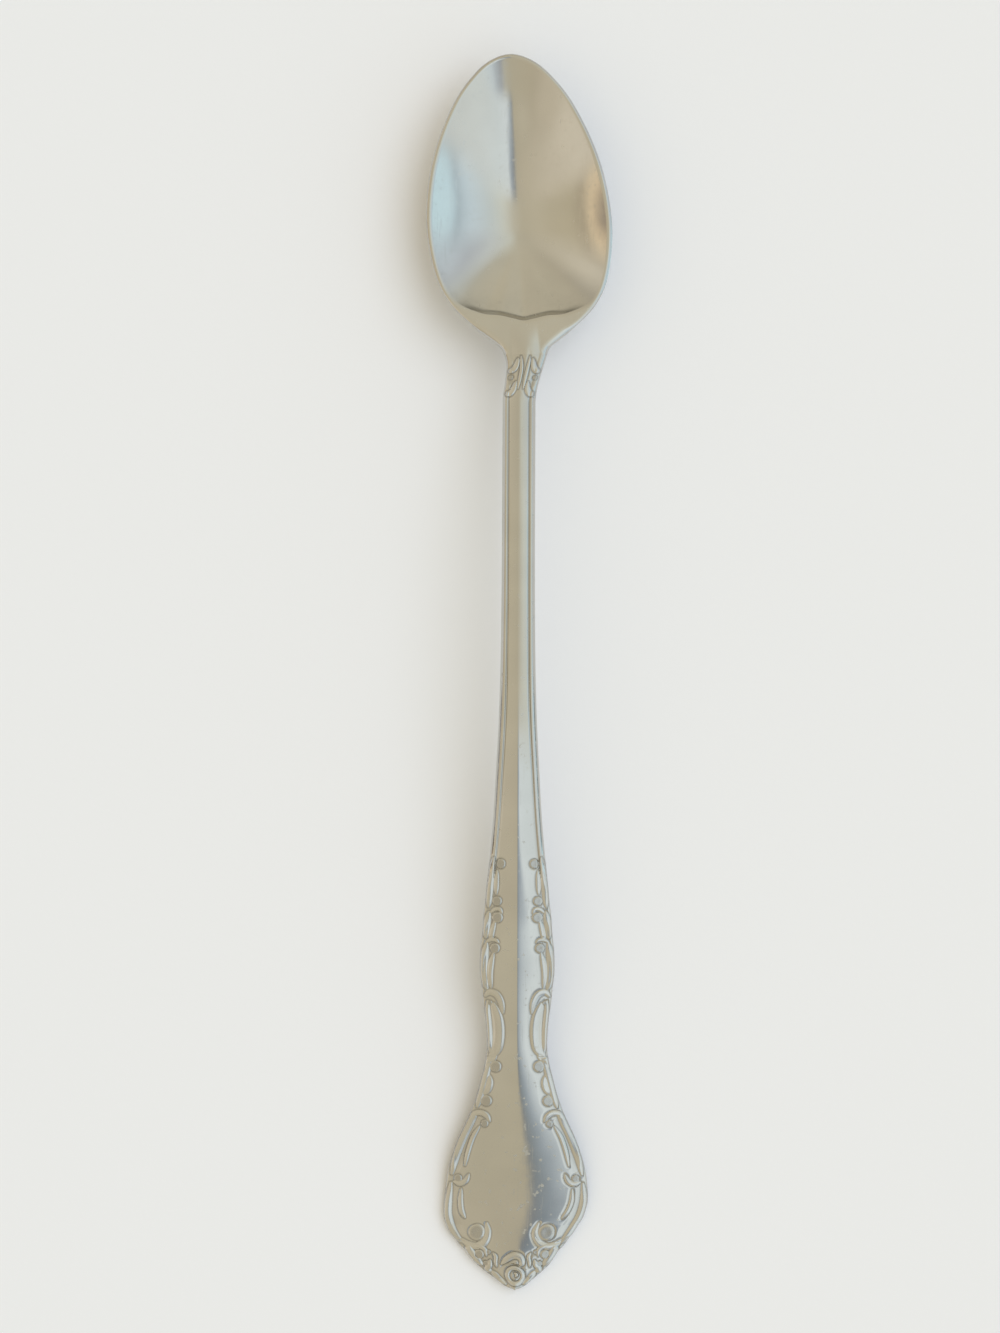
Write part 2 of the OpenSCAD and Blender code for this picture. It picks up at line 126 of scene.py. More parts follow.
neck_flare = fair([[0, 0], [0.3, 0.04], [0.55, 0.16], [0.8, 0.48], [1, 1]])
arch_shape = fair([
    [0, 0.04], [0.012, 0], [0.07, 0], [0.136, 0.08], [0.27, 0.345], [0.41, 0.655], [0.54, 0.875],
    [0.66, 0.985], [0.75, 1], [0.85, 0.93], [0.95, 0.75], [1, 0.62]])
lean = fair([
    [0, -0.02], [0.03, -0.035], [0.075, -0.06], [0.135, -0.072], [0.17, -0.045], [0.21, -0.01], [0.25, 0],
    [1, 0]])
STEM_START = 0.39 * HANDLE_WIDE / 2
TIP_ROUND = 0.9
FAIRED_OVER, FAIRING = 4, (-2.4, -1.2, 0, 1.2, 2.4)
SPINE_HIGH = 0.14
BEAD_FADE, BEAD_END = 0.05 * HANDLE, 0.4 * NECK


def drawn_half_width(s):
    handle = handle_shape(s / HANDLE) * HANDLE_WIDE / 2
    stem = mix(STEM_WIDE / 2, STEM_START, stem_flare((s - STEM_AT) / STEM))
    neck = mix(STEM_WIDE / 2, NECK_WIDE / 2, neck_flare((s - NECK_AT) / NECK))
    return np.where(s < STEM_AT, handle, np.where(s < NECK_AT, stem, neck))


def half_width(s):
    """The outline, faired over the joint of handle and stem and closed by a round at the tip."""
    s = np.asarray(s, float)
    near = np.exp(-(((s - STEM_AT) / FAIRED_OVER) ** 2))
    faired = sum(drawn_half_width(s + o) for o in FAIRING) / len(FAIRING)
    wide = mix(drawn_half_width(s), faired, near)
    return wide * np.sqrt(1 - (1 - np.clip(s / TIP_ROUND, 0, 1)) ** 2)


def under(s):
    return np.maximum(0, arch_shape(s / BOWL_AT)) * ARCH


def thick(s):
    body = mix(HANDLE_THICK, STEM_THICK, ease(s / HANDLE))
    return np.where(s < STEM_AT, body, mix(STEM_THICK, NECK_THICK, ease((s - NECK_AT) / NECK)))


def crown(s):
    spine = SPINE_HIGH * soft_step(s, 30, 50) * (1 - soft_step(s, 72, 92))
    return mix(PANEL_CROWN, RIB_CROWN, ease(s / HANDLE)) + spine


def bead_strength(s):
    rise = ease(1 - (STEM_AT - s) / BEAD_FADE)
    return np.where(s < STEM_AT, rise, 1 - ease((s - NECK_AT) / BEAD_END))


def middle(s):
    """Sideways place of the middle line: the handle's end leans left, and the bowl is turned."""
    t = np.clip((s - NECK_AT) / NECK, 0, 1)
    bend = TURN * PIVOT * t * t * (3 - 2 * t) + TURN * NECK * t * t * (1 - t)
    leaning = lean(s / HANDLE) * HANDLE_WIDE / 2
    return np.where(s > BOWL_AT, TURN * (PIVOT - (s - BOWL_AT)), np.where(s < HANDLE, leaning, bend))


def place(s, x, z):
    """From station, distance from the middle line and height to the frame, in metres."""
    return np.stack([x + middle(s), s - LENGTH / 2, z], -1) * MM


print("handle width, mm:", round(float(2 * half_width(0.206 * HANDLE)), 2))

# %% [markdown]
# ## The scroll border
# The border is a row of C-scrolls that run down both edges. A die cutter cuts each as a few strokes: a broad
# outer ridge that follows the edge, a finer inner ridge beside the panel, a shallow channel between the two,
# and a dished round eye where the scroll curls in. So that is how they are written down. A stroke is a width,
# a height and the points that it passes: station, and distance from the middle line or in from the edge.

# %% The strokes of one side, in millimetres
INNER = [
    [0.8, 0.2, [[67.6, 3.2], [65.7, 3.26], [63.9, 3.3]]],
    [0.62, 0.2, [[60.9, 2.35], [61.5, 2.75], [61.5, 3.5], [60.9, 4.2]]],
    [0.85, 0.22, [[59.6, 3.5], [58.4, 3.85], [57.4, 4.05], [56.7, 4.1]]],
    [0.62, 0.2, [[56.2, 2.9], [56.6, 3.4], [56.6, 4.2], [56.2, 4.9]]],
    [0.95, 0.23, [[54.4, 3.75], [52.6, 4.15], [50.8, 4.3], [49.0, 4.1]]],
    [1.0, 0.16, [[44.9, 2.25], [46.5, 2.5], [47.8, 3.2], [48.2, 4.3], [47.6, 5.0]]],
    [1.75, 0.28, [[46.2, 3.8], [44.4, 3.2], [42.5, 2.95], [40.6, 3.0], [39.0, 3.3], [37.9, 4.1]]],
    [0.9, 0.22, [[38.2, 3.3], [37.5, 3.8], [37.2, 4.6], [36.0, 4.9]]],
    [1.2, 0.24, [[34.9, 4.7], [33.6, 4.4], [32.4, 4.75], [31.8, 5.5]]],
    [0.9, 0.24, [[27.3, 4.3], [28.1, 4.75], [28.6, 5.6], [28.5, 6.6], [27.7, 7.5]]],
    [0.75, 0.22, [[26.4, 5.95], [24.6, 7.0], [22.1, 7.8], [20.0, 8.2]]],
    [0.85, 0.26, [[18.5, 7.6], [17.5, 8.1], [17.0, 9.0], [17.3, 10.0]]],
    [0.8, 0.22, [[16.1, 8.8], [14.2, 8.8], [12.6, 8.4], [11.5, 7.7]]],
    [1.1, 0.26, [[8.0, 8.0], [7.2, 6.9], [6.9, 5.6], [7.6, 4.3], [9.1, 3.7], [10.6, 4.1]]]]
OUTER = [
    [1.0, 0.24, [[69.6, 0.6], [67.9, 0.56], [65.6, 0.54], [63.2, 0.56], [61.9, 0.62]]],
    [1.1, 0.26, [[61.0, 0.8], [59.6, 0.66], [58, 0.6], [57.0, 0.66]]],
    [1.2, 0.28, [[56.0, 0.85], [54.5, 0.7], [52, 0.63], [50, 0.63], [48.8, 0.75]]],
    [0.85, 0.26, [[46.8, 0.72], [45, 0.52], [42, 0.47], [39.6, 0.48], [38.3, 0.62]]],
    [1.05, 0.26, [[37.2, 0.8], [35.2, 0.6], [33.3, 0.57], [31.0, 0.58], [29.6, 0.72]]],
    [1.2, 0.28, [[28.2, 0.95], [27, 0.7], [24.9, 0.63], [21.6, 0.63], [18.6, 0.68]]],
    [1.25, 0.3, [[17.0, 0.7], [14.5, 0.66], [12.1, 0.66], [10, 0.66], [8.6, 0.68], [7.6, 0.78]]]]
EYES = [
    [68.7, 2.6, 0.8, 0.24], [62.8, 3.15, 0.78, 0.24], [60.2, 3.1, 0.88, 0.26], [55.3, 3.5, 0.82, 0.26],
    [46.5, 4.3, 0.4, 0.2], [36.2, 3.4, 0.95, 0.26], [30.6, 4.85, 0.92, 0.26], [26.9, 5.1, 0.62, 0.2],
    [17.9, 9.3, 0.65, 0.22], [9.2, 5.55, 1.35, 0.28]]
CHANNELS = [
    [0.9, 0.09, [[59.9, 4.1], [58.1, 4.55], [56.9, 4.75]]],
    [0.95, 0.1, [[55.2, 4.5], [53.0, 4.85], [50.8, 4.95], [48.9, 4.65]]],
    [0.8, 0.1, [[45.6, 4.35], [43.3, 3.95], [41.1, 3.9], [38.9, 4.15]]],
    [1.7, 0.14, [[27.3, 5.9], [27.1, 6.7], [25.8, 7.7], [23.8, 8.4], [21.1, 9.1], [19.2, 9.4]]],
    [1.4, 0.1, [[16.2, 9.9], [14.0, 9.95], [12.0, 9.6], [10.2, 8.7], [8.9, 7.6]]],
    [0.4, 0.1, [[56.9, 3.0], [57.0, 4.0], [56.7, 4.95]]],
    [0.4, 0.1, [[37.9, 3.1], [37.6, 3.9], [37.8, 4.8]]],
    [0.45, 0.12, [[8.4, 3.9], [7.6, 4.7], [7.4, 6.1], [7.6, 7.6], [8.4, 8.9]]]]
print(len(INNER) + len(OUTER), "ridges,", len(EYES), "eyes and", len(CHANNELS), "channels a side")

# %% [markdown]
# ## The crest and the neck's leaves
# The crest closes the border at the tip with a lobed curl a side, a comma leaf and a round boss with a dot.
# The neck carries two pairs of short leaf scrolls, and a fan of flutes that runs out onto the shoulder.

# %% Strokes of the crest and the neck, in millimetres
CREST_SIDE = [
    [1.3, 0.46, [[7.0, 6.9], [6.2, 6.75], [5.0, 5.95], [4.0, 4.95]]],
    [0.75, 0.38, [[6.8, 6.0], [6.9, 5.1], [6.4, 4.3], [5.4, 4.1]]],
    [1.0, 0.42, [[4.7, 3.5], [3.9, 3.75], [3.3, 4.1], [2.9, 3.6]]],
    [0.7, 0.36, [[5.9, 3.0], [5.3, 2.6], [4.4, 2.7], [3.7, 2.6]]]]
CREST_EYES = [[5.6, 5.25, 0.8, 0.28], [6.0, 3.75, 0.42, 0.24], [4.2, 4.3, 0.45, 0.24]]
CREST_LEAF = [[1.15, 0.48, [[4.2, -1.7], [4.9, -0.9], [5.5, 0.2], [5.3, 1.2], [4.5, 1.55], [3.9, 1.2]]]]
CREST_RIM = [
    [0.9, 0.34, [[2.9, 3.4], [2.3, 2.9], [1.5, 2.2], [0.95, 1.4]]],
    [0.9, 0.34, [[2.9, -3.4], [2.3, -2.9], [1.5, -2.2], [0.95, -1.4]]]]
CREST_CUTS = [[0.4, 0.12, [[3.1, -2.3], [3.9, -1.5], [4.1, -0.3], [3.9, 0.8], [3.2, 2.0]]]]
MEDAL_AT, MEDAL_X, MEDAL_R = 2.3, 0.2, 1.25
NECK_SIDE = [
    [0.95, 0.34, [[144.9, 2.25], [145.0, 1.85], [145.6, 1.4], [146.8, 1.15]]],
    [0.95, 0.34, [[141.5, 1.95], [141.4, 1.6], [142.0, 1.15], [143.2, 0.95]]]]
NECK_EYES = [[143.9, 1.85, 0.4, 0.2]]
NECK_CUTS = [[1.1, 0.16, [[144.4, 2.0], [143.4, 1.7], [142.6, 1.6]]]]
FLUTES = [[0.6, 0.3, [[142.2, x], [144.8, 1.1 * x], [147.2, 1.7 * x]]] for x in (-0.4, 0.4)]


def from_edge(stroke):
    """A stroke given by its distance in from the edge, as distances from the middle line."""
    return [*stroke[:2], [[s, float(half_width(s)) - d] for s, d in stroke[2]]]


def mirrored(stroke):
    return [*stroke[:2], [[s, -x] for s, x in stroke[2]]]


def mirrored_eye(eye):
    return [eye[0], -eye[1], *eye[2:]]


medal_turn = np.linspace(0, 2 * np.pi, 25)
MEDAL = [
    [0.8, 0.46, [[MEDAL_AT + MEDAL_R * math.cos(a), MEDAL_X + MEDAL_R * math.sin(a)] for a in medal_turn]],
    [0.55, 0.44, [[MEDAL_AT + 0.45, MEDAL_X - 0.1], [MEDAL_AT + 0.2, MEDAL_X + 0.3], [MEDAL_AT - 0.2, MEDAL_X]]]]
border = INNER + [from_edge(k) for k in OUTER]
relief = {
    "scroll_border_right": (border, EYES, CHANNELS),
    "scroll_border_left": tuple(
        [mirror(k) for k in row]
        for mirror, row in ((mirrored, border), (mirrored_eye, EYES), (mirrored, CHANNELS))),
    "crest": (
        CREST_SIDE + [mirrored(k) for k in CREST_SIDE] + CREST_LEAF + CREST_RIM + MEDAL,
        CREST_EYES + [mirrored_eye(e) for e in CREST_EYES],
        CREST_CUTS),
    "neck_scrolls": (
        NECK_SIDE + [mirrored(k) for k in NECK_SIDE] + FLUTES,
        NECK_EYES + [mirrored_eye(e) for e in NECK_EYES],
        NECK_CUTS + [mirrored(k) for k in NECK_CUTS])}

# %% [markdown]
# ## How a struck ridge is shaped
# A die's stroke is a rounded furrow, so the steel that fills it is a dome in section, highest in the middle
# and thinner at both ends. Washing and polish have worn it down by over a third, to a flat top with a
# crisp foot.
# An eye is a low button with a dished top. The wheel never reaches it or the foot of a ridge, so there the
# steel stays dull, and its colour there is also darkened as painted shade.
# A channel is the same stroke turned downwards.
# Beyond the foot of a ridge the height goes below zero, which later tells which cells belong to it.


# %% Height of the ridges over the plain surface
STROKE_STEPS = 6
WORN, SPREAD, END_TAPER = 0.62, 1.12, 0.6
NO_RIDGE, FAR_OFF = -0.3, 5.0
DISH_DEEP, DISH_WIDE, EYE_CLEAR = 0.35, 0.75, 0.8
# The eyes and the feet of the ridges are duller, and their colour is darkened there as painted shade.
EYE_DULL_AND_SHADE, FOOT_DULL_AND_SHADE, FOOT_WIDE = 0.75, 0.85, 0.2


def smooth_line(points):
    p = np.array(points, float)
    return through(np.vstack([2 * p[0] - p[1], p, 2 * p[-1] - p[-2]]), STROKE_STEPS)


def stroke_height(s, x, strokes):
    """Height of the worn ridges at stations s and distances x, and the distance to the nearest foot."""
    flat_s, flat_x = s.ravel(), x.ravel()
    high, gap = np.full(flat_s.shape, NO_RIDGE), np.full(flat_s.shape, FAR_OFF)
    for drawn_wide, drawn, points in strokes:
        wide, top = SPREAD * drawn_wide, WORN * drawn
        line = smooth_line(points)
        t = np.abs(np.linspace(-1, 1, len(line)))
        closed = np.hypot(*(line[0] - line[-1])) < 0.01
        size = np.ones(len(line)) if closed else 1 - END_TAPER * t**3
        near = np.flatnonzero(
            (flat_s > line[:, 0].min() - wide) & (flat_s < line[:, 0].max() + wide)
            & (flat_x > line[:, 1].min() - wide) & (flat_x < line[:, 1].max() + wide))
        if not len(near):
            continue
        ps, px = flat_s[near], flat_x[near]
        best, best_gap = high[near], gap[near]
        for a, b, ka, kb in zip(line[:-1], line[1:], size[:-1], size[1:]):
            d = b - a
            u = np.clip(((ps - a[0]) * d[0] + (px - a[1]) * d[1]) / (d @ d), 0, 1)
            away = np.hypot(ps - a[0] - u * d[0], px - a[1] - u * d[1])
            k = ka + (kb - ka) * u
            half = wide / 2 * k
            best = np.maximum(best, top * k * (1 - np.minimum(away / half, 2) ** 3))
            best_gap = np.minimum(best_gap, away - half)
        high[near], gap[near] = best, best_gap
    return high.reshape(s.shape), gap.reshape(s.shape)


def struck_relief(s, x, strokes, eyes, channels):
    """Height of ridges and eyes, depth of channels, distance to the nearest foot, and the share of dullness and
    painted shade.
    """
    high, gap = stroke_height(s, x, strokes)
    # Eyes and the feet of ridges get dullness and painted shade.
    dull_and_shade = np.zeros(s.shape)
    for at_s, at_x, r, top in eyes:
        away = np.hypot(s - at_s, x - at_x)
        u = away / r
        button = WORN * top * (1 - u**4) * (1 - DISH_DEEP * np.clip(1 - (u / DISH_WIDE) ** 2, 0, 1))
        high = np.where(u < 1, np.maximum(button, np.where(u < EYE_CLEAR, -1, high)), high)
        gap = np.minimum(gap, away - r)
        dull_and_shade = np.maximum(dull_and_shade, EYE_DULL_AND_SHADE * np.clip(1.3 - 1.3 * u**3, 0, 1))
    dull_and_shade = np.maximum(dull_and_shade, FOOT_DULL_AND_SHADE * np.clip(1 + gap / FOOT_WIDE, 0, 1))
    depth = np.maximum(stroke_height(s, x, channels)[0], 0)
    return high, depth, gap, dull_and_shade


# %% [markdown]
# ## The plain top surface
# Across the handle the panel is a low crown that sharpens to a faint spine towards the stem, and the border
# falls away to the edge. Along the stem it is a middle rib with a groove and a bead on each side.
# Every edge is rounded, because the blank is tumbled and polished after striking.
# Under each ridge the top is let down a little, so that the two meshes never lie in one plane.

# %% Top and bottom of the bar
FURROW, FURROW_WIDE, LET_DOWN = 0.035, 0.22, 0.1
HANDLE_ROUND, STEM_ROUND, UNDER_ROUND = 0.35, 0.85, 0.45
BEAD_ROOM, BEAD_TOP, BEAD_SPREAD, BEAD_DOME = 1.2, 0.72, 0.34, 0.5
GROOVE_AT, GROOVE_WIDE, GROOVE_DEEP = 1.12, 0.18, 0.38
ROUND_CROWN, TENT_CROWN, STEM_CROWN = 2, 1.3, 1.7
FALL_WIDE, FALL_RATE = 3.2, 0.022
# Shares of dullness and painted shade in the bead grooves and in the channels.
GROOVE_GRIME_AND_SHADE, CHANNEL_GRIME_AND_SHADE = 0.65, 0.6


def edge_round(s):
    return mix(HANDLE_ROUND, STEM_ROUND, soft_step(s, 62, 74))


def flare(s):
    """How much longer a distance across is than one square to the outline."""
    slope = (half_width(s + 0.02) - half_width(np.maximum(s - 0.02, 1e-3))) / 0.04
    return np.sqrt(1 + slope**2)


def rounded(edge, radius):
    """Drop of a rounded edge at a distance from it."""
    in_reach = np.clip(radius - edge, 0, radius)
    return radius - np.sqrt(np.maximum(radius**2 - in_reach**2, 0))


def across_bead(s, x):
    """Distance in from the edge, and the same as a share of the bead's width."""
    edge = np.maximum(half_width(s) - np.abs(x), 0) / flare(s)
    return edge, edge / np.minimum(BEAD_WIDE, half_width(s) / 3)


def bead_groove(s, x):
    return np.exp(-(((across_bead(s, x)[1] - GROOVE_AT) / GROOVE_WIDE) ** 2))


def plain_top(s, x):
    wide = half_width(s)
    edge, u = across_bead(s, x)
    panel = np.maximum(wide - BEAD_ROOM * np.minimum(BEAD_WIDE, wide / 3), wide / 2)
    dome = BEAD_DOME * np.clip(1 - ((u - BEAD_TOP) / BEAD_SPREAD) ** 2, 0, 1) ** 1.5
    dome = dome - GROOVE_DEEP * bead_groove(s, x)
    roof = mix(mix(ROUND_CROWN, TENT_CROWN, soft_step(s, 22, 48)), STEM_CROWN, soft_step(s, 85, 110))
    middle_part = under(s) + thick(s) - crown(s) * np.minimum(1, np.abs(x) / panel) ** roof
    margin = np.minimum(FALL_WIDE, wide / 2)
    fall = FALL_RATE * np.maximum(np.abs(x) - wide + margin, 0) ** 2 * soft_step(s, 67, 59)
    return middle_part - fall + BEAD_HIGH * bead_strength(s) * dome - rounded(edge, edge_round(s))


def struck_top(s, x):
    """The top with its channels, the furrows that the die presses beside each ridge, and the share of dullness
    and painted shade in the furrows, bead grooves and channels.
    """
    s, x = np.broadcast_arrays(s, x)
    tone, carved = np.zeros(s.shape), np.zeros(s.shape)
    # Bead grooves and channels get dullness and painted shade, as do the furrows beside each ridge.
    grime_and_shade = GROOVE_GRIME_AND_SHADE * bead_groove(s, x) * bead_strength(s)
    for strokes, eyes, channels in relief.values():
        _, depth, gap, _ = struck_relief(s, x, strokes, eyes, channels)
        tone = np.maximum(tone, np.where(gap < 0, 1, np.exp(-((gap / FURROW_WIDE) ** 2))))
        grime_and_shade = np.maximum(grime_and_shade, CHANNEL_GRIME_AND_SHADE * ease(depth / 0.1))
        carved = np.maximum(carved, depth + LET_DOWN * ease(-gap / 0.15))
    return plain_top(s, x) - FURROW * tone - carved, np.maximum(tone, grime_and_shade)


def bottom(s, x):
    edge = np.maximum(half_width(s) - np.abs(x), 0) / flare(s)
    return under(s) + rounded(edge, UNDER_ROUND + 0 * s)


# %% [markdown]
# ## Selecting and finishing by code
# In edit mode an operator works on what is selected. These helpers clear the selection, pick faces by a test
# and store the exact direction of the surface at each point, so that a polished skin has no shading flaws
# where two regions of the one blank meet.


# %% Helpers for meshes
def deselect():
    bpy.ops.object.select_all(action="DESELECT")


def coordinates(obj):
    co = np.empty(len(obj.data.vertices) * 3)
    obj.data.vertices.foreach_get("co", co)
    return co.reshape(-1, 3)


def put(obj, co):
    obj.data.vertices.foreach_set("co", np.ascontiguousarray(co, float).ravel())
    obj.data.update()


def keep(obj, name, values):
    """Stores a number or a direction for each point of the mesh."""
    vector = values.ndim == 2
    attribute = obj.data.attributes.new(name, "FLOAT_VECTOR" if vector else "FLOAT", "POINT")
    attribute.data.foreach_set("vector" if vector else "value", values.astype(np.float32).ravel())


def kept_normals(obj):
    values = np.empty(len(obj.data.vertices) * 3, np.float32)
    obj.data.attributes["skin"].data.foreach_get("vector", values)
    return values.reshape(-1, 3)


def select_faces(obj, mask):
    deselect()
    bpy.context.view_layer.objects.active = obj
    obj.select_set(True)
    bpy.context.tool_settings.mesh_select_mode = (False, False, True)
    mesh = obj.data
    mesh.vertices.foreach_set("select", np.zeros(len(mesh.vertices), bool))
    mesh.edges.foreach_set("select", np.zeros(len(mesh.edges), bool))
    mesh.polygons.foreach_set("select", mask)
    bpy.ops.object.mode_set(mode="EDIT")


def settle(obj, slot_name, *nodes):
    """Hangs a finished piece under the root body, hides the solids that it stands for and prints its faces."""
    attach(obj, "root")
    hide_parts(*nodes)
    print(obj.name, len(obj.data.polygons), "faces")


# %% [markdown]
# ## Rolling a bar from a strip
# The handle, stem and neck are one bar with a changing section. By hand one would start from a flat grid,
# roll it round into a tube and weld the seam, then move each ring to its station. The grid's columns
# become the section's outline, its rows the stations. Its two ends are filled at the joints.


# %% A bar between two stations
EDGE_STEPS = np.array([0, 0.025, 0.07, 0.13, 0.2, 0.29, 0.4, 0.55, 0.8])
EDGE_SHARE, WALL_ROWS, NUDGE, TIP_START = 0.55, 4, 0.01, 0.003


def half_columns(s, count, steps=EDGE_STEPS):
    wide, slant = half_width(s)[:, None], flare(s)[:, None]
    edge = np.minimum(steps * slant, wide * steps / steps[-1] * EDGE_SHARE)
    inner = (wide - edge[:, -1:]) * np.linspace(0, 1, count, endpoint=False)
    return np.hstack([inner, wide - edge[:, ::-1]])


def bar_rings(s, top_columns, bottom_columns):
    """Rings of points round the bar, one for each station, and the share of dullness and painted shade at each
    point.
    """
    column = s[:, None]
    half = half_columns(s, top_columns)
    across = np.hstack([-half[:, :0:-1], half])
    high, tone = struck_top(column, across)
    half_below = half_columns(s, bottom_columns, EDGE_STEPS[[0, 2, 4, 6, 8]])
    below = np.hstack([half_below[:, ::-1], -half_below[:, 1:]])
    low = bottom(column, below)
    wall = np.linspace(0, 1, WALL_ROWS)[1:-1]
    edge_x = half_width(s)[:, None] + 0 * wall
    edge_z = high[:, -1:] + (low[:, :1] - high[:, -1:]) * wall
    x = np.hstack([across, edge_x, below, -edge_x])
    z = np.hstack([high, edge_z, low, edge_z[:, ::-1]])
    tones = np.zeros(x.shape)
    tones[:, :across.shape[1]] = tone
    return place(column + 0 * x, x, z), tones


def directions(rings, before, after):
    """The surface's own direction, from the neighbours round the ring and along the bar."""
    round_it = np.roll(rings, -1, 1) - np.roll(rings, 1, 1)
    skin = np.cross(round_it, after - before)
    return skin / np.linalg.norm(skin, axis=-1, keepdims=True)


def make_bar(name, stations, top_columns, bottom_columns):
    rings, tones = bar_rings(stations, top_columns, bottom_columns)
    before = bar_rings(np.maximum(stations - NUDGE, TIP_START), top_columns, bottom_columns)[0]
    after = bar_rings(np.minimum(stations + NUDGE, BOWL_AT), top_columns, bottom_columns)[0]
    skin = directions(rings, before, after)
    rows, columns = rings.shape[:2]
    deselect()
    bpy.ops.mesh.primitive_grid_add(x_subdivisions=columns, y_subdivisions=rows - 1, size=2)
    obj = bpy.context.object
    obj.name = obj.data.name = name
    flat = coordinates(obj)
    i = np.rint((flat[:, 0] + 1) / 2 * columns).astype(int) % columns
    j = np.rint((flat[:, 1] + 1) / 2 * (rows - 1)).astype(int)
    put(obj, rings[j, i])
    keep(obj, "skin", skin[j, i])
    # Stores where the finish is duller and its colour painted darker as shade.
    keep(obj, "furrow_dull_and_shade", tones[j, i])
    bpy.ops.object.mode_set(mode="EDIT")
    bpy.context.tool_settings.mesh_select_mode = (True, False, False)
    bpy.ops.mesh.select_all(action="SELECT")
    bpy.ops.mesh.remove_doubles(threshold=1e-7)
    bpy.ops.mesh.select_all(action="DESELECT")
    bpy.ops.mesh.select_non_manifold()
    bpy.ops.mesh.fill_holes(sides=0)
    bpy.ops.object.mode_set(mode="OBJECT")
    bpy.ops.object.shade_smooth()
    return obj


def spread(start, end, step):
    return np.linspace(start, end, int(round((end - start) / step)) + 1)


tip = np.array([0.004, 0.012, 0.03, 0.06, 0.1, 0.15, 0.21, 0.28, 0.36, 0.45, 0.56])
fine_end = STEM_AT + 2.4
handle_rows = np.concatenate([tip, spread(0.7, STEM_AT, 0.17)])
stem_rows = np.concatenate([spread(STEM_AT, fine_end, 0.12)[:-1], spread(fine_end, NECK_AT, 0.4)])
handle_panel = make_bar("handle_panel", handle_rows, top_columns=88, bottom_columns=10)
stem_bar = make_bar("stem_bar", stem_rows, top_columns=40, bottom_columns=8)
neck_bar = make_bar("neck_bar", spread(NECK_AT, BOWL_AT, 0.075), top_columns=44, bottom_columns=10)

# %% [markdown]
# ## The bowl
# A bowl is pressed from the flat blank, so its hollow and its underside follow each other. By hand it can be
# made from a ball: the upper half is pushed down into the lower half until it lies inside it, and the line
# between them becomes the rim. The ball's poles become the deepest points, so there is no seam.
# Use has worn the right side of the rim to a slope, so the ball's two halves are given rims of their own.

# %% Lines that the bowl is drawn from
rim_drawn = np.array([
    [0.285, 0.03], [0.52, 0.086], [0.784, 0.168], [0.934, 0.269], [1, 0.42], [0.957, 0.572],
    [0.836, 0.708], [0.63, 0.843], [0.42, 0.929], [0.225, 0.979], [0, 1]]) * [BOWL_WIDE / 2, BOWL]
hollow_drawn = np.array([
    [0, -0.014], [0.12, -0.006], [0.27, 0.006], [0.5, 0.016], [0.78, 0.066], [0.935, 0.178], [1, 0.344],
    [0.953, 0.518], [0.828, 0.673], [0.618, 0.826], [0.403, 0.923], [0.208, 0.979], [0, 1]])
hollow_drawn = hollow_drawn * [BOWL_WIDE / 2 - RIM_WIDE, BOWL - SHOULDER - RIM_WIDE] + [0, SHOULDER]
LINE_STEPS = 12
DEEPEST = np.array([0, 0.44 * BOWL])
neck_corner = np.array([NECK_WIDE / 2, 0.0])


def half_line(points, before):
    """A fair line through half an outline, whose mirror image carries it on at the tip."""
    return through(np.vstack([before, points, points[-2] * [-1, 1]]), LINE_STEPS)


rim_points = np.vstack([neck_corner, rim_drawn])
outer_half = half_line(rim_points, 2 * rim_points[0] - rim_points[1])
joint_half = neck_corner * (np.arange(LINE_STEPS)[:, None] / LINE_STEPS)
rim_line = np.vstack([joint_half, outer_half])
hollow_line = half_line(hollow_drawn, hollow_drawn[1] * [-1, 1])
print("points round half the rim:", len(rim_line), "and hollow:", len(hollow_line))


# %% Heights of the bowl's rim, hollow and underside
JOINT_HIGH = float(under(np.float64(BOWL_AT))) + NECK_THICK
JOINT_SLOPE, LEVEL_AT, TIP_LIFT = -0.2, 0.3 * BOWL, 0.04
NECK_PANEL = NECK_WIDE / 2 - BEAD_ROOM * BEAD_WIDE
RIM_DEEP, RIM_ROUND, SHOULDER_ROUND, WEAR_ROUND = 0.62, 0.46, (0.8, 1.15), 1.3
LIP_DEEP, LIP_WIDE, CREASE_DEEP, CREASE_WIDE = 0.2, 0.55, 0.2, 0.95
BELLY, HEEL_BELLY, FLOOR_BELLY, HEEL_REACH = 1.3, 2.4, 1.5, 0.85
STRIP_RINGS, HOLLOW_RINGS, SHELL_RINGS = 18, 52, 44


def rim_high(y):
    """Runs on from the neck without a corner, then levels out and lifts a little towards the tip."""
    t = np.clip(y / LEVEL_AT, 0, 1)
    run_on = JOINT_SLOPE * LEVEL_AT * t * (1 - t) ** 2
    return mix(JOINT_HIGH, RIM_HIGH, ease(t)) + run_on + TIP_LIFT * RIM_HIGH * ease(2 * y / BOWL - 1)


def outline_distance(p):
    """Distance of points to the bowl's edge, which runs on as the neck's edge."""
    edge = np.vstack([[neck_corner[0], -4], outer_half])
    a, d = edge[:-1], np.diff(edge, axis=0)
    q = np.stack([np.abs(p[..., 0]), p[..., 1]], -1)[..., None, :]
    u = np.clip(((q - a) * d).sum(-1) / (d**2).sum(-1), 0, 1)
    return np.linalg.norm(q - a - u[..., None] * d, axis=-1).min(-1)


def bulge(r, belly):
    """How much of the bowl's depth is left at a share r of the way from its deepest point to its rim."""
    left = 1 - np.clip(r, 0, 1)
    return 1 - (belly + 1) / belly * (np.clip(r, 0, 1) - (1 - left ** (belly + 1)) / (belly + 1))


def with_height(plan, z):
    return np.concatenate([plan, np.broadcast_to(z, plan.shape[:-1])[..., None]], -1)


strip_length = np.linalg.norm(rim_line - hollow_line, axis=1)
near_neck = ease((strip_length - 2 * RIM_WIDE) / (SHOULDER - 2 * RIM_WIDE))
wall_high = mix(RIM_DEEP, NECK_THICK, near_neck)


def rim_round(y):
    past = soft_step(y, 5, 18)
    return mix(*SHOULDER_ROUND, ease(y / 5)) * (1 - past) + RIM_ROUND * past


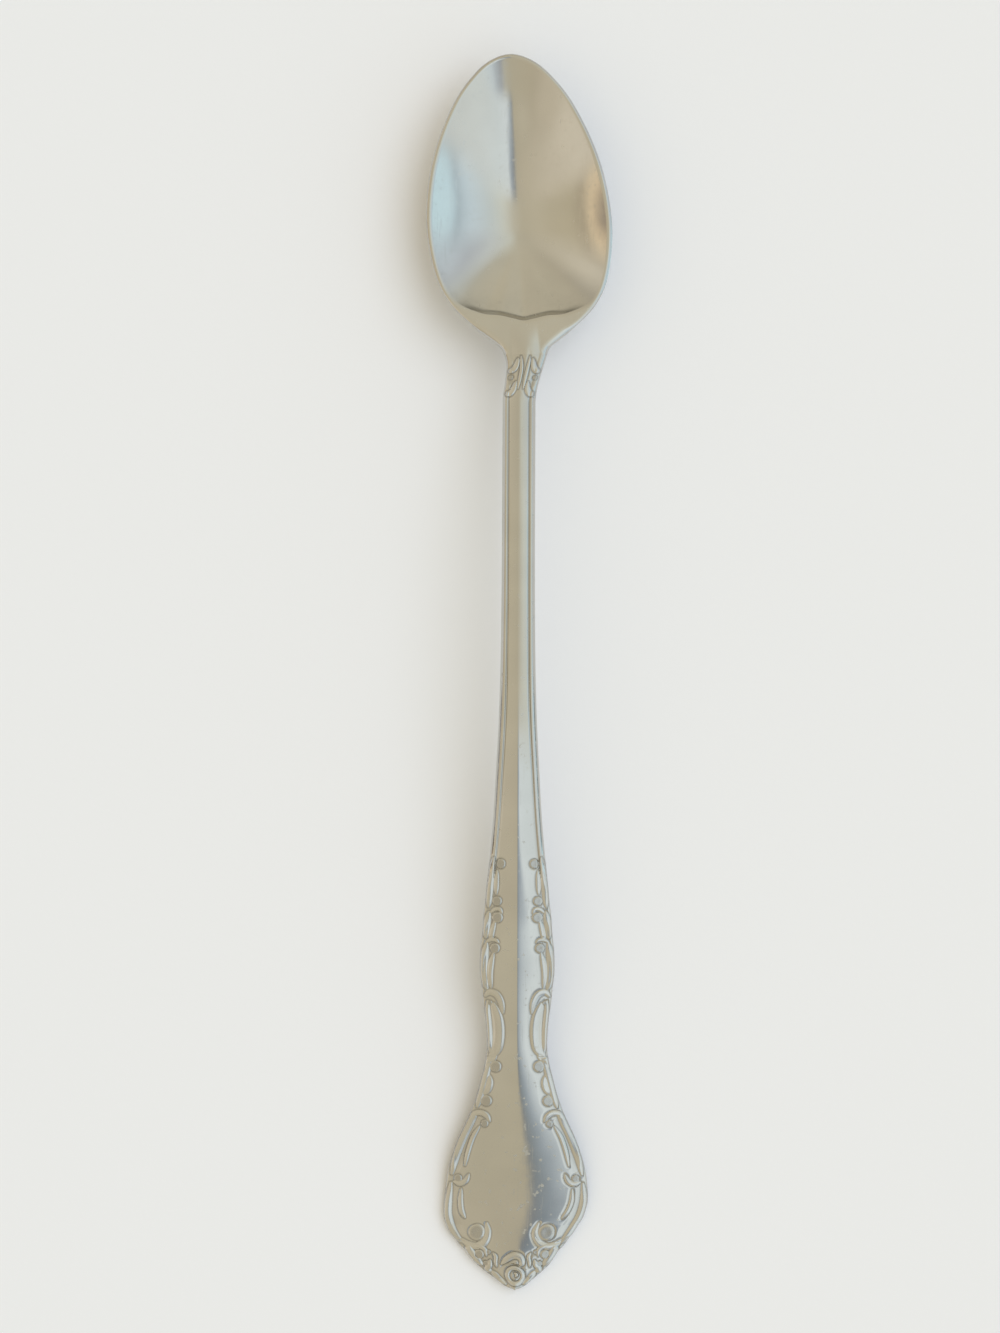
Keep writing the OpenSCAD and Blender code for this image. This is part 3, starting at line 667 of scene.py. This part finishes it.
def top_of_rim(plan, worn=0.0):
    """Height of the rim, whose edge is crisp where new and a broad slope where it is worn."""
    y, edge = plan[..., 1], outline_distance(plan)
    across = np.minimum(1, np.abs(plan[..., 0]) / NECK_PANEL) ** 2
    z = rim_high(y) - RIB_CROWN * (1 - ease(y / SHOULDER)) * across
    crisp = rounded(edge, np.minimum(rim_round(y), 0.8 * wall_here(plan)))
    slope = WEAR_ROUND - np.sqrt(WEAR_ROUND**2 - np.clip(RIM_WIDE - edge, 0, RIM_WIDE) ** 2)
    return z - mix(crisp, slope, worn * soft_step(y, 5, 13) * (1 - 0.6 * soft_step(y, 18, 28)))


def wall_here(plan):
    """Height of the outer wall on the line of each point."""
    return wall_high[: plan.shape[-2]]


def lip(distance):
    return LIP_DEEP * np.clip(1 - distance / LIP_WIDE, 0, 1) ** 2


share = 0.5 - 0.5 * np.cos(np.linspace(0, np.pi, STRIP_RINGS))
strip_plan = rim_line + (hollow_line - rim_line) * share[:, None, None]
lip_drop = lip(strip_length * (1 - share[:, None]))
strip_z = top_of_rim(strip_plan) - lip_drop
strip = with_height(strip_plan, strip_z)
worn_strip = with_height(strip_plan, top_of_rim(strip_plan, 1.0) - lip_drop)

toward_heel = np.where(
    hollow_line[:, 1] > DEEPEST[1], 0, ease(1 - hollow_line[:, 0] / (HEEL_REACH * (BOWL_WIDE / 2 - RIM_WIDE))))
belly = mix(BELLY, HEEL_BELLY, toward_heel)


def dished(line, share, depth_share, edge_z, base):
    """Rings from a smooth oval at the deepest point out to a line, and their heights over a base."""
    offset = line - DEEPEST
    reach = np.linalg.norm(offset, axis=1, keepdims=True)
    length = np.where(offset[:, 1:] > 0, OVAL[1], OVAL[2])
    oval = offset / np.hypot(offset[:, :1] / OVAL[0], offset[:, 1:] / length)
    outward = ease(share / 0.85)[:, None]
    plan = DEEPEST + mix(oval, offset, outward[..., None]) * share[:, None, None]
    edge = mix(OVAL[3], edge_z, outward)
    left = bulge(depth_share[:, None], mix(FLOOR_BELLY, belly, outward))
    return plan, edge - (edge - base) * left, reach[:, 0]


# Half width, length to the tip, length to the heel and edge height of the oval
OVAL = (13.4, 20.5, 15.0, 8.4)
# The rings crowd together near the rim, where the surface turns most.
hollow_share = 1 - (np.linspace(0, 1, HOLLOW_RINGS)[1:]) ** 1.7 * 0.985
crease = CREASE_DEEP * toward_heel
lip_z = strip_z[-1] - crease
hollow_plan, hollow_z, reach = dished(hollow_line, hollow_share, hollow_share, lip_z, FLOOR_THICK)
hollow_z = hollow_z + crease * np.clip(1 - (1 - hollow_share[:, None]) * reach / CREASE_WIDE, 0, 1) ** 2
hollow = with_height(hollow_plan, hollow_z)

wall = mix(0.7 * RIM_WIDE, 0.5 * NECK_THICK, toward_heel)
shell_plan = hollow_line + (rim_line - hollow_line) * (wall / strip_length)[:, None]
shell_edge_z = rim_high(hollow_line[:, 1]) - mix(1.05, 1.02 * NECK_THICK, toward_heel)
shell_share = np.clip(1 - (np.linspace(1, 0, SHELL_RINGS)[:-1]) ** 1.6, 0.015, 1)
below_share = np.clip((shell_share - 0.1) / 0.9, 0, 1)
shell_rings, shell_z, _ = dished(shell_plan, shell_share, below_share, shell_edge_z, 0)
shell = with_height(shell_rings, shell_z)
foot_z = strip_z[0] - wall_high + np.minimum(rim_round(rim_line[:, 1]), 0.8 * wall_high)
neck_foot = JOINT_HIGH - NECK_THICK + rounded(outline_distance(rim_line), UNDER_ROUND)
foot = with_height(rim_line, mix(neck_foot, foot_z, ease(rim_line[:, 1] / 5)))
under_strip = [mix(shell[-1], foot, t) for t in (0.2, 0.4, 0.6, 0.8, 0.93, 1)]
sides = []
for top in (worn_strip, strip):
    outer_wall = [mix(foot, top[0], t) for t in (0.08, 0.3, 0.6, 0.85)]
    sides.append(np.concatenate([shell, under_strip, outer_wall, top, hollow]))
bowl_rings = np.concatenate([sides[0], sides[1][:, -2:0:-1] * [-1, 1, 1]], 1)
print("rings of the bowl:", bowl_rings.shape)

# %% Press the ball into a bowl
ring_count, round_count = bowl_rings.shape[:2]
deselect()
bpy.ops.mesh.primitive_uv_sphere_add(segments=round_count, ring_count=ring_count + 1, radius=1)
bowl_shell = bpy.context.object
bowl_shell.name = bowl_shell.data.name = "bowl_shell"
ball = coordinates(bowl_shell)
level = np.rint((1 - np.arccos(np.clip(ball[:, 2], -1, 1)) / np.pi) * (ring_count + 1)).astype(int)
quarter_on = np.arctan2(ball[:, 1], ball[:, 0]) / (2 * np.pi) + 0.25
turn_at = np.rint(quarter_on * round_count).astype(int) % round_count
pole_low = with_height(DEEPEST, 0.0)
pole_high = with_height(DEEPEST, FLOOR_THICK)
grid = np.concatenate([
    np.broadcast_to(pole_low, (1, round_count, 3)), bowl_rings,
    np.broadcast_to(pole_high, (1, round_count, 3))])
placed = place(BOWL_AT + grid[..., 1], grid[..., 0], grid[..., 2])
round_it = np.roll(placed, -1, 1) - np.roll(placed, 1, 1)
bowl_skin = np.cross(round_it, np.gradient(placed, axis=0))
bowl_skin[0], bowl_skin[-1] = [0, 0, -1], [0, 0, 1]
bowl_skin /= np.maximum(np.linalg.norm(bowl_skin, axis=-1, keepdims=True), 1e-12)
put(bowl_shell, placed[level, turn_at])
keep(bowl_shell, "skin", bowl_skin[level, turn_at])
# The bowl gets no dullness and no painted shade.
keep(bowl_shell, "furrow_dull_and_shade", np.zeros(len(ball)))
bpy.ops.object.shade_smooth()

# %% [markdown]
# ## One skin over the joints
# The real spoon has no joint between these regions, so near the joint of neck and bowl the directions of the two
# surfaces are drawn together. The polish then runs across without a line.


# %% Draw the directions together at a joint
def blend_skin(obj, other, station, reach=1.6):
    y = (station - LENGTH / 2) * MM
    source = coordinates(other)
    skin = kept_normals(other)
    on_joint = np.flatnonzero(np.abs(source[:, 1] - y) < 1e-6)
    tree = kdtree.KDTree(len(on_joint))
    for k in on_joint:
        tree.insert((source[k, 0], source[k, 2], 0), int(k))
    tree.balance()
    own, own_skin = coordinates(obj), kept_normals(obj)
    near = np.flatnonzero(np.abs(own[:, 1] - y) < reach * MM)
    for k in near:
        same_side = own_skin[k, 2] > 0
        found = tree.find_n((own[k, 0], own[k, 2], 0), 6)
        match = [f[1] for f in found if (skin[f[1], 2] > 0) == same_side] or [found[0][1]]
        pull = 1 - float(ease(abs(own[k, 1] - y) / (reach * MM)))
        n = own_skin[k] * (1 - pull) + skin[match[0]] * pull
        own_skin[k] = n / max(np.linalg.norm(n), 1e-9)
    obj.data.attributes["skin"].data.foreach_set("vector", own_skin.astype(np.float32).ravel())


blend_skin(bowl_shell, neck_bar, BOWL_AT)
for piece in (handle_panel, stem_bar, neck_bar, bowl_shell):
    piece.data.normals_split_custom_set_from_vertices([tuple(n) for n in kept_normals(piece)])
settle(handle_panel, "buffed_steel", "handle")
settle(stem_bar, "buffed_steel", "stem")
settle(neck_bar, "buffed_steel", "neck")
settle(bowl_shell, "polished_steel", "bowl")

# %% [markdown]
# ## The raised ornament
# Each group of ridges is cut from its own sheet of fine cells. The sheet takes the height of the ridges, the
# cells that lie below the panel are deleted, and the rest is extruded down into the steel to close it.
# Each call gives the sheet's stations, its reach across and the size of its cells.
# Where a ridge meets the panel the two surfaces cross in a crisp line, as at the foot of a struck ridge.


# %% Cut the ridges from a sheet
SINK, LIFT, SHALLOW, EDGE_CLEAR = 0.35, 0.012, -0.08, 0.03
TOO_LOW, PAST_EDGE = -0.02, -0.9


def make_relief(name, node, stations, widths, step):
    rows, columns = (int(round((b - a) / step)) for a, b in (stations, widths))
    deselect()
    bpy.ops.mesh.primitive_grid_add(x_subdivisions=columns, y_subdivisions=rows, size=2)
    obj = bpy.context.object
    obj.name = obj.data.name = name
    flat = coordinates(obj)
    s = mix(stations[0], stations[1], (flat[:, 1] + 1) / 2)
    x = mix(widths[0], widths[1], (flat[:, 0] + 1) / 2)
    high, depth, _, dull_and_shade = struck_relief(s, x, *relief[node])
    high = np.where(half_width(s) - np.abs(x) < EDGE_CLEAR, -1, high)
    corners = np.empty(len(obj.data.polygons) * 4, int)
    obj.data.polygons.foreach_get("vertices", corners)
    low_face = high[corners.reshape(-1, 4)].max(1) < TOO_LOW
    outside = high[corners.reshape(-1, 4)].min(1) < PAST_EDGE
    z = plain_top(s, x) - FURROW - depth + np.maximum(high, SHALLOW) + LIFT
    put(obj, place(s, x, z))
    # Stores where the ridges' feet and the eyes are duller and painted darker as shade.
    keep(obj, "dull_and_shade", dull_and_shade)
    select_faces(obj, low_face | outside)
    bpy.ops.mesh.delete(type="FACE")
    bpy.ops.mesh.select_all(action="SELECT")
    bpy.ops.mesh.extrude_region_move(TRANSFORM_OT_translate={"value": (0, 0, -SINK * MM)})
    bpy.ops.object.mode_set(mode="OBJECT")
    chosen = np.empty(len(obj.data.vertices), bool)
    obj.data.vertices.foreach_get("select", chosen)
    co = coordinates(obj)
    s = co[chosen, 1] / MM + LENGTH / 2
    x = co[chosen, 0] / MM - middle(s)
    co[chosen, 2] = (plain_top(s, x) - FURROW - SINK) * MM
    put(obj, co)
    bpy.ops.object.mode_set(mode="EDIT")
    bpy.ops.mesh.select_all(action="SELECT")
    bpy.ops.mesh.normals_make_consistent(inside=False)
    bpy.ops.object.mode_set(mode="OBJECT")
    bpy.ops.object.shade_smooth_by_angle(angle=math.radians(60))
    settle(obj, "ornament_steel", node)
    return obj


ornament = [
    make_relief("border_scrolls_right", "scroll_border_right", (6, 69.9), (0.8, 11.5), 0.09),
    make_relief("border_scrolls_left", "scroll_border_left", (6, 69.9), (-11.5, -0.8), 0.09),
    make_relief("crest_scrolls", "crest", (0.3, 7.8), (-8, 8), 0.07),
    make_relief("neck_leaves", "neck_scrolls", (140.1, 147.45), (-3.1, 3.1), 0.05)]

# %% [markdown]
# ## Stainless steel
# The steel is 18/10 stainless. Bare metal has no colour of its own under the polish: its hue is the faint
# warm grey of chromium and nickel in iron, about C8C6C1 in sRGB. What differs is the finish. The bowl is
# mirror polished, the handle is buffed and worn by use, and the ornament keeps a dull line in its furrows,
# which, like the furrows and grooves of the handle and stem, is also painted darker as shade.


# %% Colour and node helpers
def steel_colour(code):
    channels = [int(code[i:i + 2], 16) / 255 for i in (0, 2, 4)]
    return (*[c / 12.92 if c <= 0.04045 else ((c + 0.055) / 1.055) ** 2.4 for c in channels], 1)


def add(material, kind, links=None, **settings):
    """Adds one node, with its settings, and its inputs as values or as links from other nodes."""
    tree = material.node_tree
    node = tree.nodes.new(kind)
    for key, value in settings.items():
        setattr(node, key, value)
    for key, value in (links or {}).items():
        if isinstance(value, bpy.types.NodeSocket):
            tree.links.new(value, node.inputs[key])
        else:
            node.inputs[key].default_value = value
    return node


def new_material(name):
    material = bpy.data.materials.new(name)
    material.use_nodes = True
    material.node_tree.nodes.clear()
    return material


# %% [markdown]
# ## Three finishes of one steel
# A finish is made of five things. Wide soft waves, 3 to 8 mm across, are left by the press and the buffing
# wheel and bend the reflections. A mottle of about 1 mm changes the gloss. Hairlines from washing run mostly
# along the spoon: real ones are about 0.03 mm wide and are drawn at about 0.15 mm so that they show.
# Water has dried in spots of under 1 mm that are a little duller. Grime keeps the furrows and the round eyes
# dull, and there the colour is also darkened as painted shade. Each finish takes its own amounts of these.


# %% Build a finish
# Nearly all values of a noise lie between LOW_NOISE and HIGH_NOISE, and only the highest make a line or a spot.
LOW_NOISE, HIGH_NOISE = 0.3, 0.7
LINE_FROM, LINE_FULL, SPOT_FROM, SPOT_FULL = 0.66, 0.8, 0.64, 0.72
HAIRLINE_DULL = 0.12


def finish(name, colour, gloss, waves, mottle, hairline, spots, groove=None):
    material = new_material(name)
    at = add(material, "ShaderNodeTexCoord").outputs["Object"]
    wave = add(material, "ShaderNodeTexNoise", {"Vector": at, "Scale": 160.0, "Detail": 1.0})
    grain = add(material, "ShaderNodeTexNoise", {"Vector": at, "Scale": 900.0, "Detail": 4.0, "Roughness": 0.6})
    lines = None
    for angle, stretch in ((4, (5200, 130, 700)), (-38, (4300, 170, 700)), (63, (4000, 210, 700))):
        turned = add(material, "ShaderNodeMapping", {
            "Vector": at, "Rotation": (0, 0, math.radians(angle)), "Scale": stretch})
        streak = add(material, "ShaderNodeTexNoise", {
            "Vector": turned.outputs[0], "Scale": 1.0, "Detail": 1.0})
        cut = add(material, "ShaderNodeMapRange", {
            "Value": streak.outputs[0], "From Min": LINE_FROM, "From Max": LINE_FULL}).outputs[0]
        lines = cut if lines is None else add(
            material, "ShaderNodeMath", {0: lines, 1: cut}, operation="MAXIMUM").outputs[0]
    rough = add(material, "ShaderNodeMapRange", {
        "Value": grain.outputs[0], "From Min": LOW_NOISE, "From Max": HIGH_NOISE,
        "To Min": gloss[0], "To Max": gloss[1]}).outputs[0]
    rough = add(material, "ShaderNodeMath", {
        0: lines, 1: HAIRLINE_DULL, 2: rough}, operation="MULTIPLY_ADD").outputs[0]
    drop = add(material, "ShaderNodeTexNoise", {"Vector": at, "Scale": 1100.0, "Detail": 1.0})
    dried = add(material, "ShaderNodeMapRange", {
        "Value": drop.outputs[0], "From Min": SPOT_FROM, "From Max": SPOT_FULL, "To Max": spots}).outputs[0]
    rough = add(material, "ShaderNodeMath", {0: rough, 1: dried}, operation="ADD").outputs[0]
    bright = add(material, "ShaderNodeMapRange", {
        "Value": wave.outputs[0], "From Min": LOW_NOISE, "From Max": HIGH_NOISE, "To Min": 0.94}).outputs[0]
    tint = add(material, "ShaderNodeVectorMath", {
        0: steel_colour(colour)[:3], "Scale": bright}, operation="SCALE").outputs[0]
    # The marked furrows, grooves and eyes are made duller, and their colour is painted darker as shade.
    if groove:
        mark, shade, matt = groove
        attribute = add(material, "ShaderNodeAttribute", attribute_name=mark)
        dull_and_shade = add(material, "ShaderNodeMapRange", {
            "Value": attribute.outputs["Fac"], "From Min": 0.25, "From Max": 0.95}).outputs[0]
        darker = add(material, "ShaderNodeMapRange", {
            "Value": dull_and_shade, "To Min": 1.0, "To Max": shade}).outputs[0]
        tint = add(material, "ShaderNodeVectorMath", {0: tint, "Scale": darker}, operation="SCALE").outputs[0]
        rough = add(material, "ShaderNodeMath", {
            0: dull_and_shade, 1: matt, 2: rough}, operation="MULTIPLY_ADD").outputs[0]
    soft = add(material, "ShaderNodeBump", {
        "Height": wave.outputs[0], "Strength": 1.0, "Distance": waves * MM})
    grainy = add(material, "ShaderNodeBump", {
        "Height": grain.outputs[0], "Strength": 1.0, "Distance": mottle * MM, "Normal": soft.outputs[0]})
    scratched = add(material, "ShaderNodeBump", {
        "Height": lines, "Strength": 1.0, "Distance": -hairline * MM, "Normal": grainy.outputs[0]})
    steel = add(material, "ShaderNodeBsdfPrincipled", {
        "Base Color": tint, "Metallic": 1.0, "Roughness": rough, "Normal": scratched.outputs[0]})
    add(material, "ShaderNodeOutputMaterial", {"Surface": steel.outputs[0]})
    return material


mirror_steel = finish(
    "mirror_polished_stainless", "CBC9C4", gloss=(0.11, 0.17),
    waves=0.05, mottle=0.0006, hairline=0.0003, spots=0.1)
# The buffed and coined finishes are painted darker as shade in their marked furrows, grooves and eyes.
buffed_steel = finish(
    "buffed_stainless", "C8C6C1", gloss=(0.04, 0.09),
    waves=0.028, mottle=0.0008, hairline=0.0005, spots=0.22, groove=("furrow_dull_and_shade", 0.7, 0.1))
coined_steel = finish(
    "coined_stainless", "CCCAC5", gloss=(0.1, 0.17),
    waves=0.004, mottle=0.0008, hairline=0.0004, spots=0.1, groove=("dull_and_shade", 0.68, 0.16))
for piece, material in (
        (bowl_shell, mirror_steel), (neck_bar, buffed_steel), (stem_bar, buffed_steel),
        (handle_panel, buffed_steel), *[(piece, coined_steel) for piece in ornament]):
    piece.data.materials.clear()
    piece.data.materials.append(material)
print("finishes:", mirror_steel.name, buffed_steel.name, coined_steel.name)

# %% [markdown]
# ## The floor and the light
# Polished steel has the colour of what it mirrors. A warm reflector stands to the left and a cool soft light
# to the right, with a narrow darker gap overhead between them, as in a plain studio with a window.

# %% Floor
# It lies a twentieth of a millimetre low, so that the spoon's flats never share its plane.
FLOOR_SIZE, FLOOR_LOW = 4, 0.05 * MM
deselect()
bpy.ops.mesh.primitive_plane_add(size=FLOOR_SIZE, location=(0, 0, -FLOOR_LOW))
floor = bpy.context.object
floor.name = "floor"
bpy.ops.object.transform_apply(location=True, rotation=False, scale=False)
paper = new_material("pale_paper")
fibre = add(paper, "ShaderNodeTexNoise", {
    "Vector": add(paper, "ShaderNodeTexCoord").outputs["Object"], "Scale": 900.0, "Detail": 3.0})
bumpy = add(paper, "ShaderNodeBump", {"Height": fibre.outputs[0], "Strength": 0.3, "Distance": 0.00004})
matt = add(paper, "ShaderNodeBsdfPrincipled", {
    "Base Color": steel_colour("F0F0F3"), "Roughness": 0.8, "Normal": bumpy.outputs[0]})
add(paper, "ShaderNodeOutputMaterial", {"Surface": matt.outputs[0]})
floor.data.materials.append(paper)


# %% Lamp
# A wide pale lamp on the cool side lifts the paper to white and draws the spoon's soft shadow.
deselect()
bpy.ops.object.light_add(type="SUN", rotation=(math.radians(-14), math.radians(30), 0))
lamp = bpy.context.object
lamp.name = "window_lamp"
lamp.data.energy = 0.85
lamp.data.angle = math.radians(50)
lamp.data.color = (0.74, 0.82, 1.0)
lamp.visible_glossy = False

# %% Sky of the studio
# Each row is a direction to the side, from -1 at the left horizon to 1 at the right one, and a linear colour.
# FAR is low behind the handle's end, TALL and LOW are the two parts that the handle mirrors, BACK is overhead,
# and NECK_SKY and HEEL_SKY are the parts beyond the bowl that the neck and the bowl's heel mirror.
FAR = [
    [-1, 0.5, 0.46, 0.4], [-0.9, 0.68, 0.6, 0.46], [-0.5, 0.7, 0.63, 0.47], [0.1, 0.7, 0.65, 0.5],
    [0.22, 0.7, 0.68, 0.56], [0.29, 0.5, 0.53, 0.56], [0.38, 0.54, 0.6, 0.66], [0.48, 0.82, 0.94, 1.02],
    [1, 0.86, 1.1, 1.22]]
TALL = [
    [-1, 0.94, 0.87, 0.72], [-0.75, 0.8, 0.72, 0.56], [-0.5, 0.7, 0.63, 0.48], [-0.25, 0.76, 0.7, 0.54],
    [0.02, 0.72, 0.66, 0.5], [0.035, 0.34, 0.37, 0.39], [0.055, 0.4, 0.46, 0.5], [0.09, 0.52, 0.6, 0.67],
    [0.14, 0.8, 0.89, 0.95], [0.2, 1.06, 1.16, 1.2], [0.4, 0.98, 1.08, 1.11], [0.75, 0.96, 1.03, 1.02],
    [1, 0.92, 0.97, 0.95]]
LOW = [
    [-1, 0.98, 0.9, 0.74], [-0.75, 0.88, 0.8, 0.64], [-0.3, 0.76, 0.69, 0.53], [0.025, 0.7, 0.64, 0.49],
    [0.045, 0.34, 0.37, 0.4], [0.08, 0.36, 0.42, 0.47], [0.165, 0.56, 0.64, 0.72], [0.215, 1.04, 1.14, 1.18],
    [0.4, 0.98, 1.08, 1.11], [0.7, 0.95, 1.02, 1.02], [1, 0.92, 0.97, 0.95]]
BACK = [
    [-1, 0.42, 0.38, 0.35], [-0.985, 0.5, 0.42, 0.32], [-0.975, 1.25, 1.0, 0.66], [-0.962, 0.95, 0.8, 0.56],
    [-0.94, 0.6, 0.52, 0.38], [-0.88, 0.73, 0.65, 0.47], [-0.5, 0.77, 0.7, 0.53], [-0.1, 0.73, 0.67, 0.51],
    [0.15, 0.78, 0.74, 0.6], [0.4, 0.92, 0.95, 0.86], [0.66, 0.86, 0.96, 0.98], [0.84, 0.86, 1.02, 1.12],
    [0.89, 0.78, 0.94, 1.04], [0.92, 0.58, 0.7, 0.78], [0.95, 0.88, 1.14, 1.26], [1, 0.9, 1.18, 1.3]]
NECK_SKY = [
    [-1, 0.9, 0.83, 0.68], [-0.6, 0.79, 0.72, 0.56], [-0.2, 0.72, 0.66, 0.51], [0.05, 0.74, 0.69, 0.54],
    [0.25, 0.88, 0.9, 0.8], [0.6, 0.84, 0.9, 0.9], [0.8, 0.7, 0.76, 0.82], [1, 0.86, 1.0, 1.1]]
HEEL_SKY = [
    [-1, 0.56, 0.52, 0.44], [-0.4, 0.66, 0.6, 0.46], [0, 0.74, 0.68, 0.52], [0.4, 0.7, 0.68, 0.57],
    [1, 0.8, 0.9, 0.95]]
world = bpy.data.worlds.new("studio")
bpy.context.scene.world = world
world.use_nodes = True
world.node_tree.nodes.clear()
look = add(world, "ShaderNodeTexCoord").outputs["Generated"]
parts = add(world, "ShaderNodeSeparateXYZ", {0: look}).outputs
across = add(world, "ShaderNodeMapRange", {"Value": parts["X"], "From Min": -1.0}).outputs[0]

# %% Join the parts of the sky
# Each part takes over from the one before between two directions along the spoon.
PARTS_OF_SKY = (
    (FAR, None), (TALL, (-0.62, -0.52)), (LOW, (-0.44, -0.37)), (BACK, (-0.23, -0.14)),
    (NECK_SKY, (0.14, 0.36)), (HEEL_SKY, (0.45, 0.75)))
for table, change in PARTS_OF_SKY:
    colours = add(world, "ShaderNodeValToRGB", {0: across})
    for k, (x, *rgb) in enumerate(table):
        if k < 2:
            stop = colours.color_ramp.elements[k]
            stop.position = (x + 1) / 2
        else:
            stop = colours.color_ramp.elements.new((x + 1) / 2)
        stop.color = (*rgb, 1)
    if change is None:
        sky = colours.outputs[0]
    else:
        along = add(world, "ShaderNodeMapRange", {
            "Value": parts["Y"], "From Min": change[0], "From Max": change[1]}).outputs[0]
        sky = add(world, "ShaderNodeMix", {
            0: along, 6: sky, 7: colours.outputs[0]}, data_type="RGBA").outputs[2]
horizon = add(world, "ShaderNodeMapRange", {
    "Value": parts["Z"], "From Min": 0.02, "From Max": 0.12, "To Min": 0.25}).outputs[0]
sky = add(world, "ShaderNodeVectorMath", {0: sky, "Scale": horizon}, operation="SCALE").outputs[0]
background = add(world, "ShaderNodeBackground", {"Color": sky, "Strength": 1.0})
white = add(world, "ShaderNodeBackground", {"Color": (0.8, 0.79, 0.77, 1), "Strength": 1.0})
seen = add(world, "ShaderNodeLightPath").outputs["Is Camera Ray"]
both = add(world, "ShaderNodeMixShader", {0: seen, 1: background.outputs[0], 2: white.outputs[0]})
add(world, "ShaderNodeOutputWorld", {"Surface": both.outputs[0]})

# %% [markdown]
# ## The camera
# The photograph looks almost straight down from about 45 cm. The camera's place and its small tilts were
# found by fitting the spoon's outline.

# %% Camera
FOCAL_PIXELS, PHOTO_TALL, SENSOR_TALL = 2841.24, 1333, 24
roll, tilt_x, tilt_y = -0.003797, 0.027777, -0.015095
turn = Matrix.Rotation(roll, 3, "Z") @ Matrix.Rotation(tilt_y, 3, "Y") @ Matrix.Rotation(tilt_x, 3, "X")
lens = bpy.data.cameras.new("camera")
lens.sensor_fit = "VERTICAL"
lens.sensor_height = SENSOR_TALL
lens.lens = FOCAL_PIXELS * SENSOR_TALL / PHOTO_TALL
lens.clip_start = 0.01
camera = bpy.data.objects.new("camera", lens)
bpy.context.scene.collection.objects.link(camera)
camera.matrix_world = Matrix.Translation(Vector((0.00384, 0.01447, 0.45))) @ turn.transposed().to_4x4()
bpy.context.scene.camera = camera
bpy.context.scene.view_settings.view_transform = "Standard"
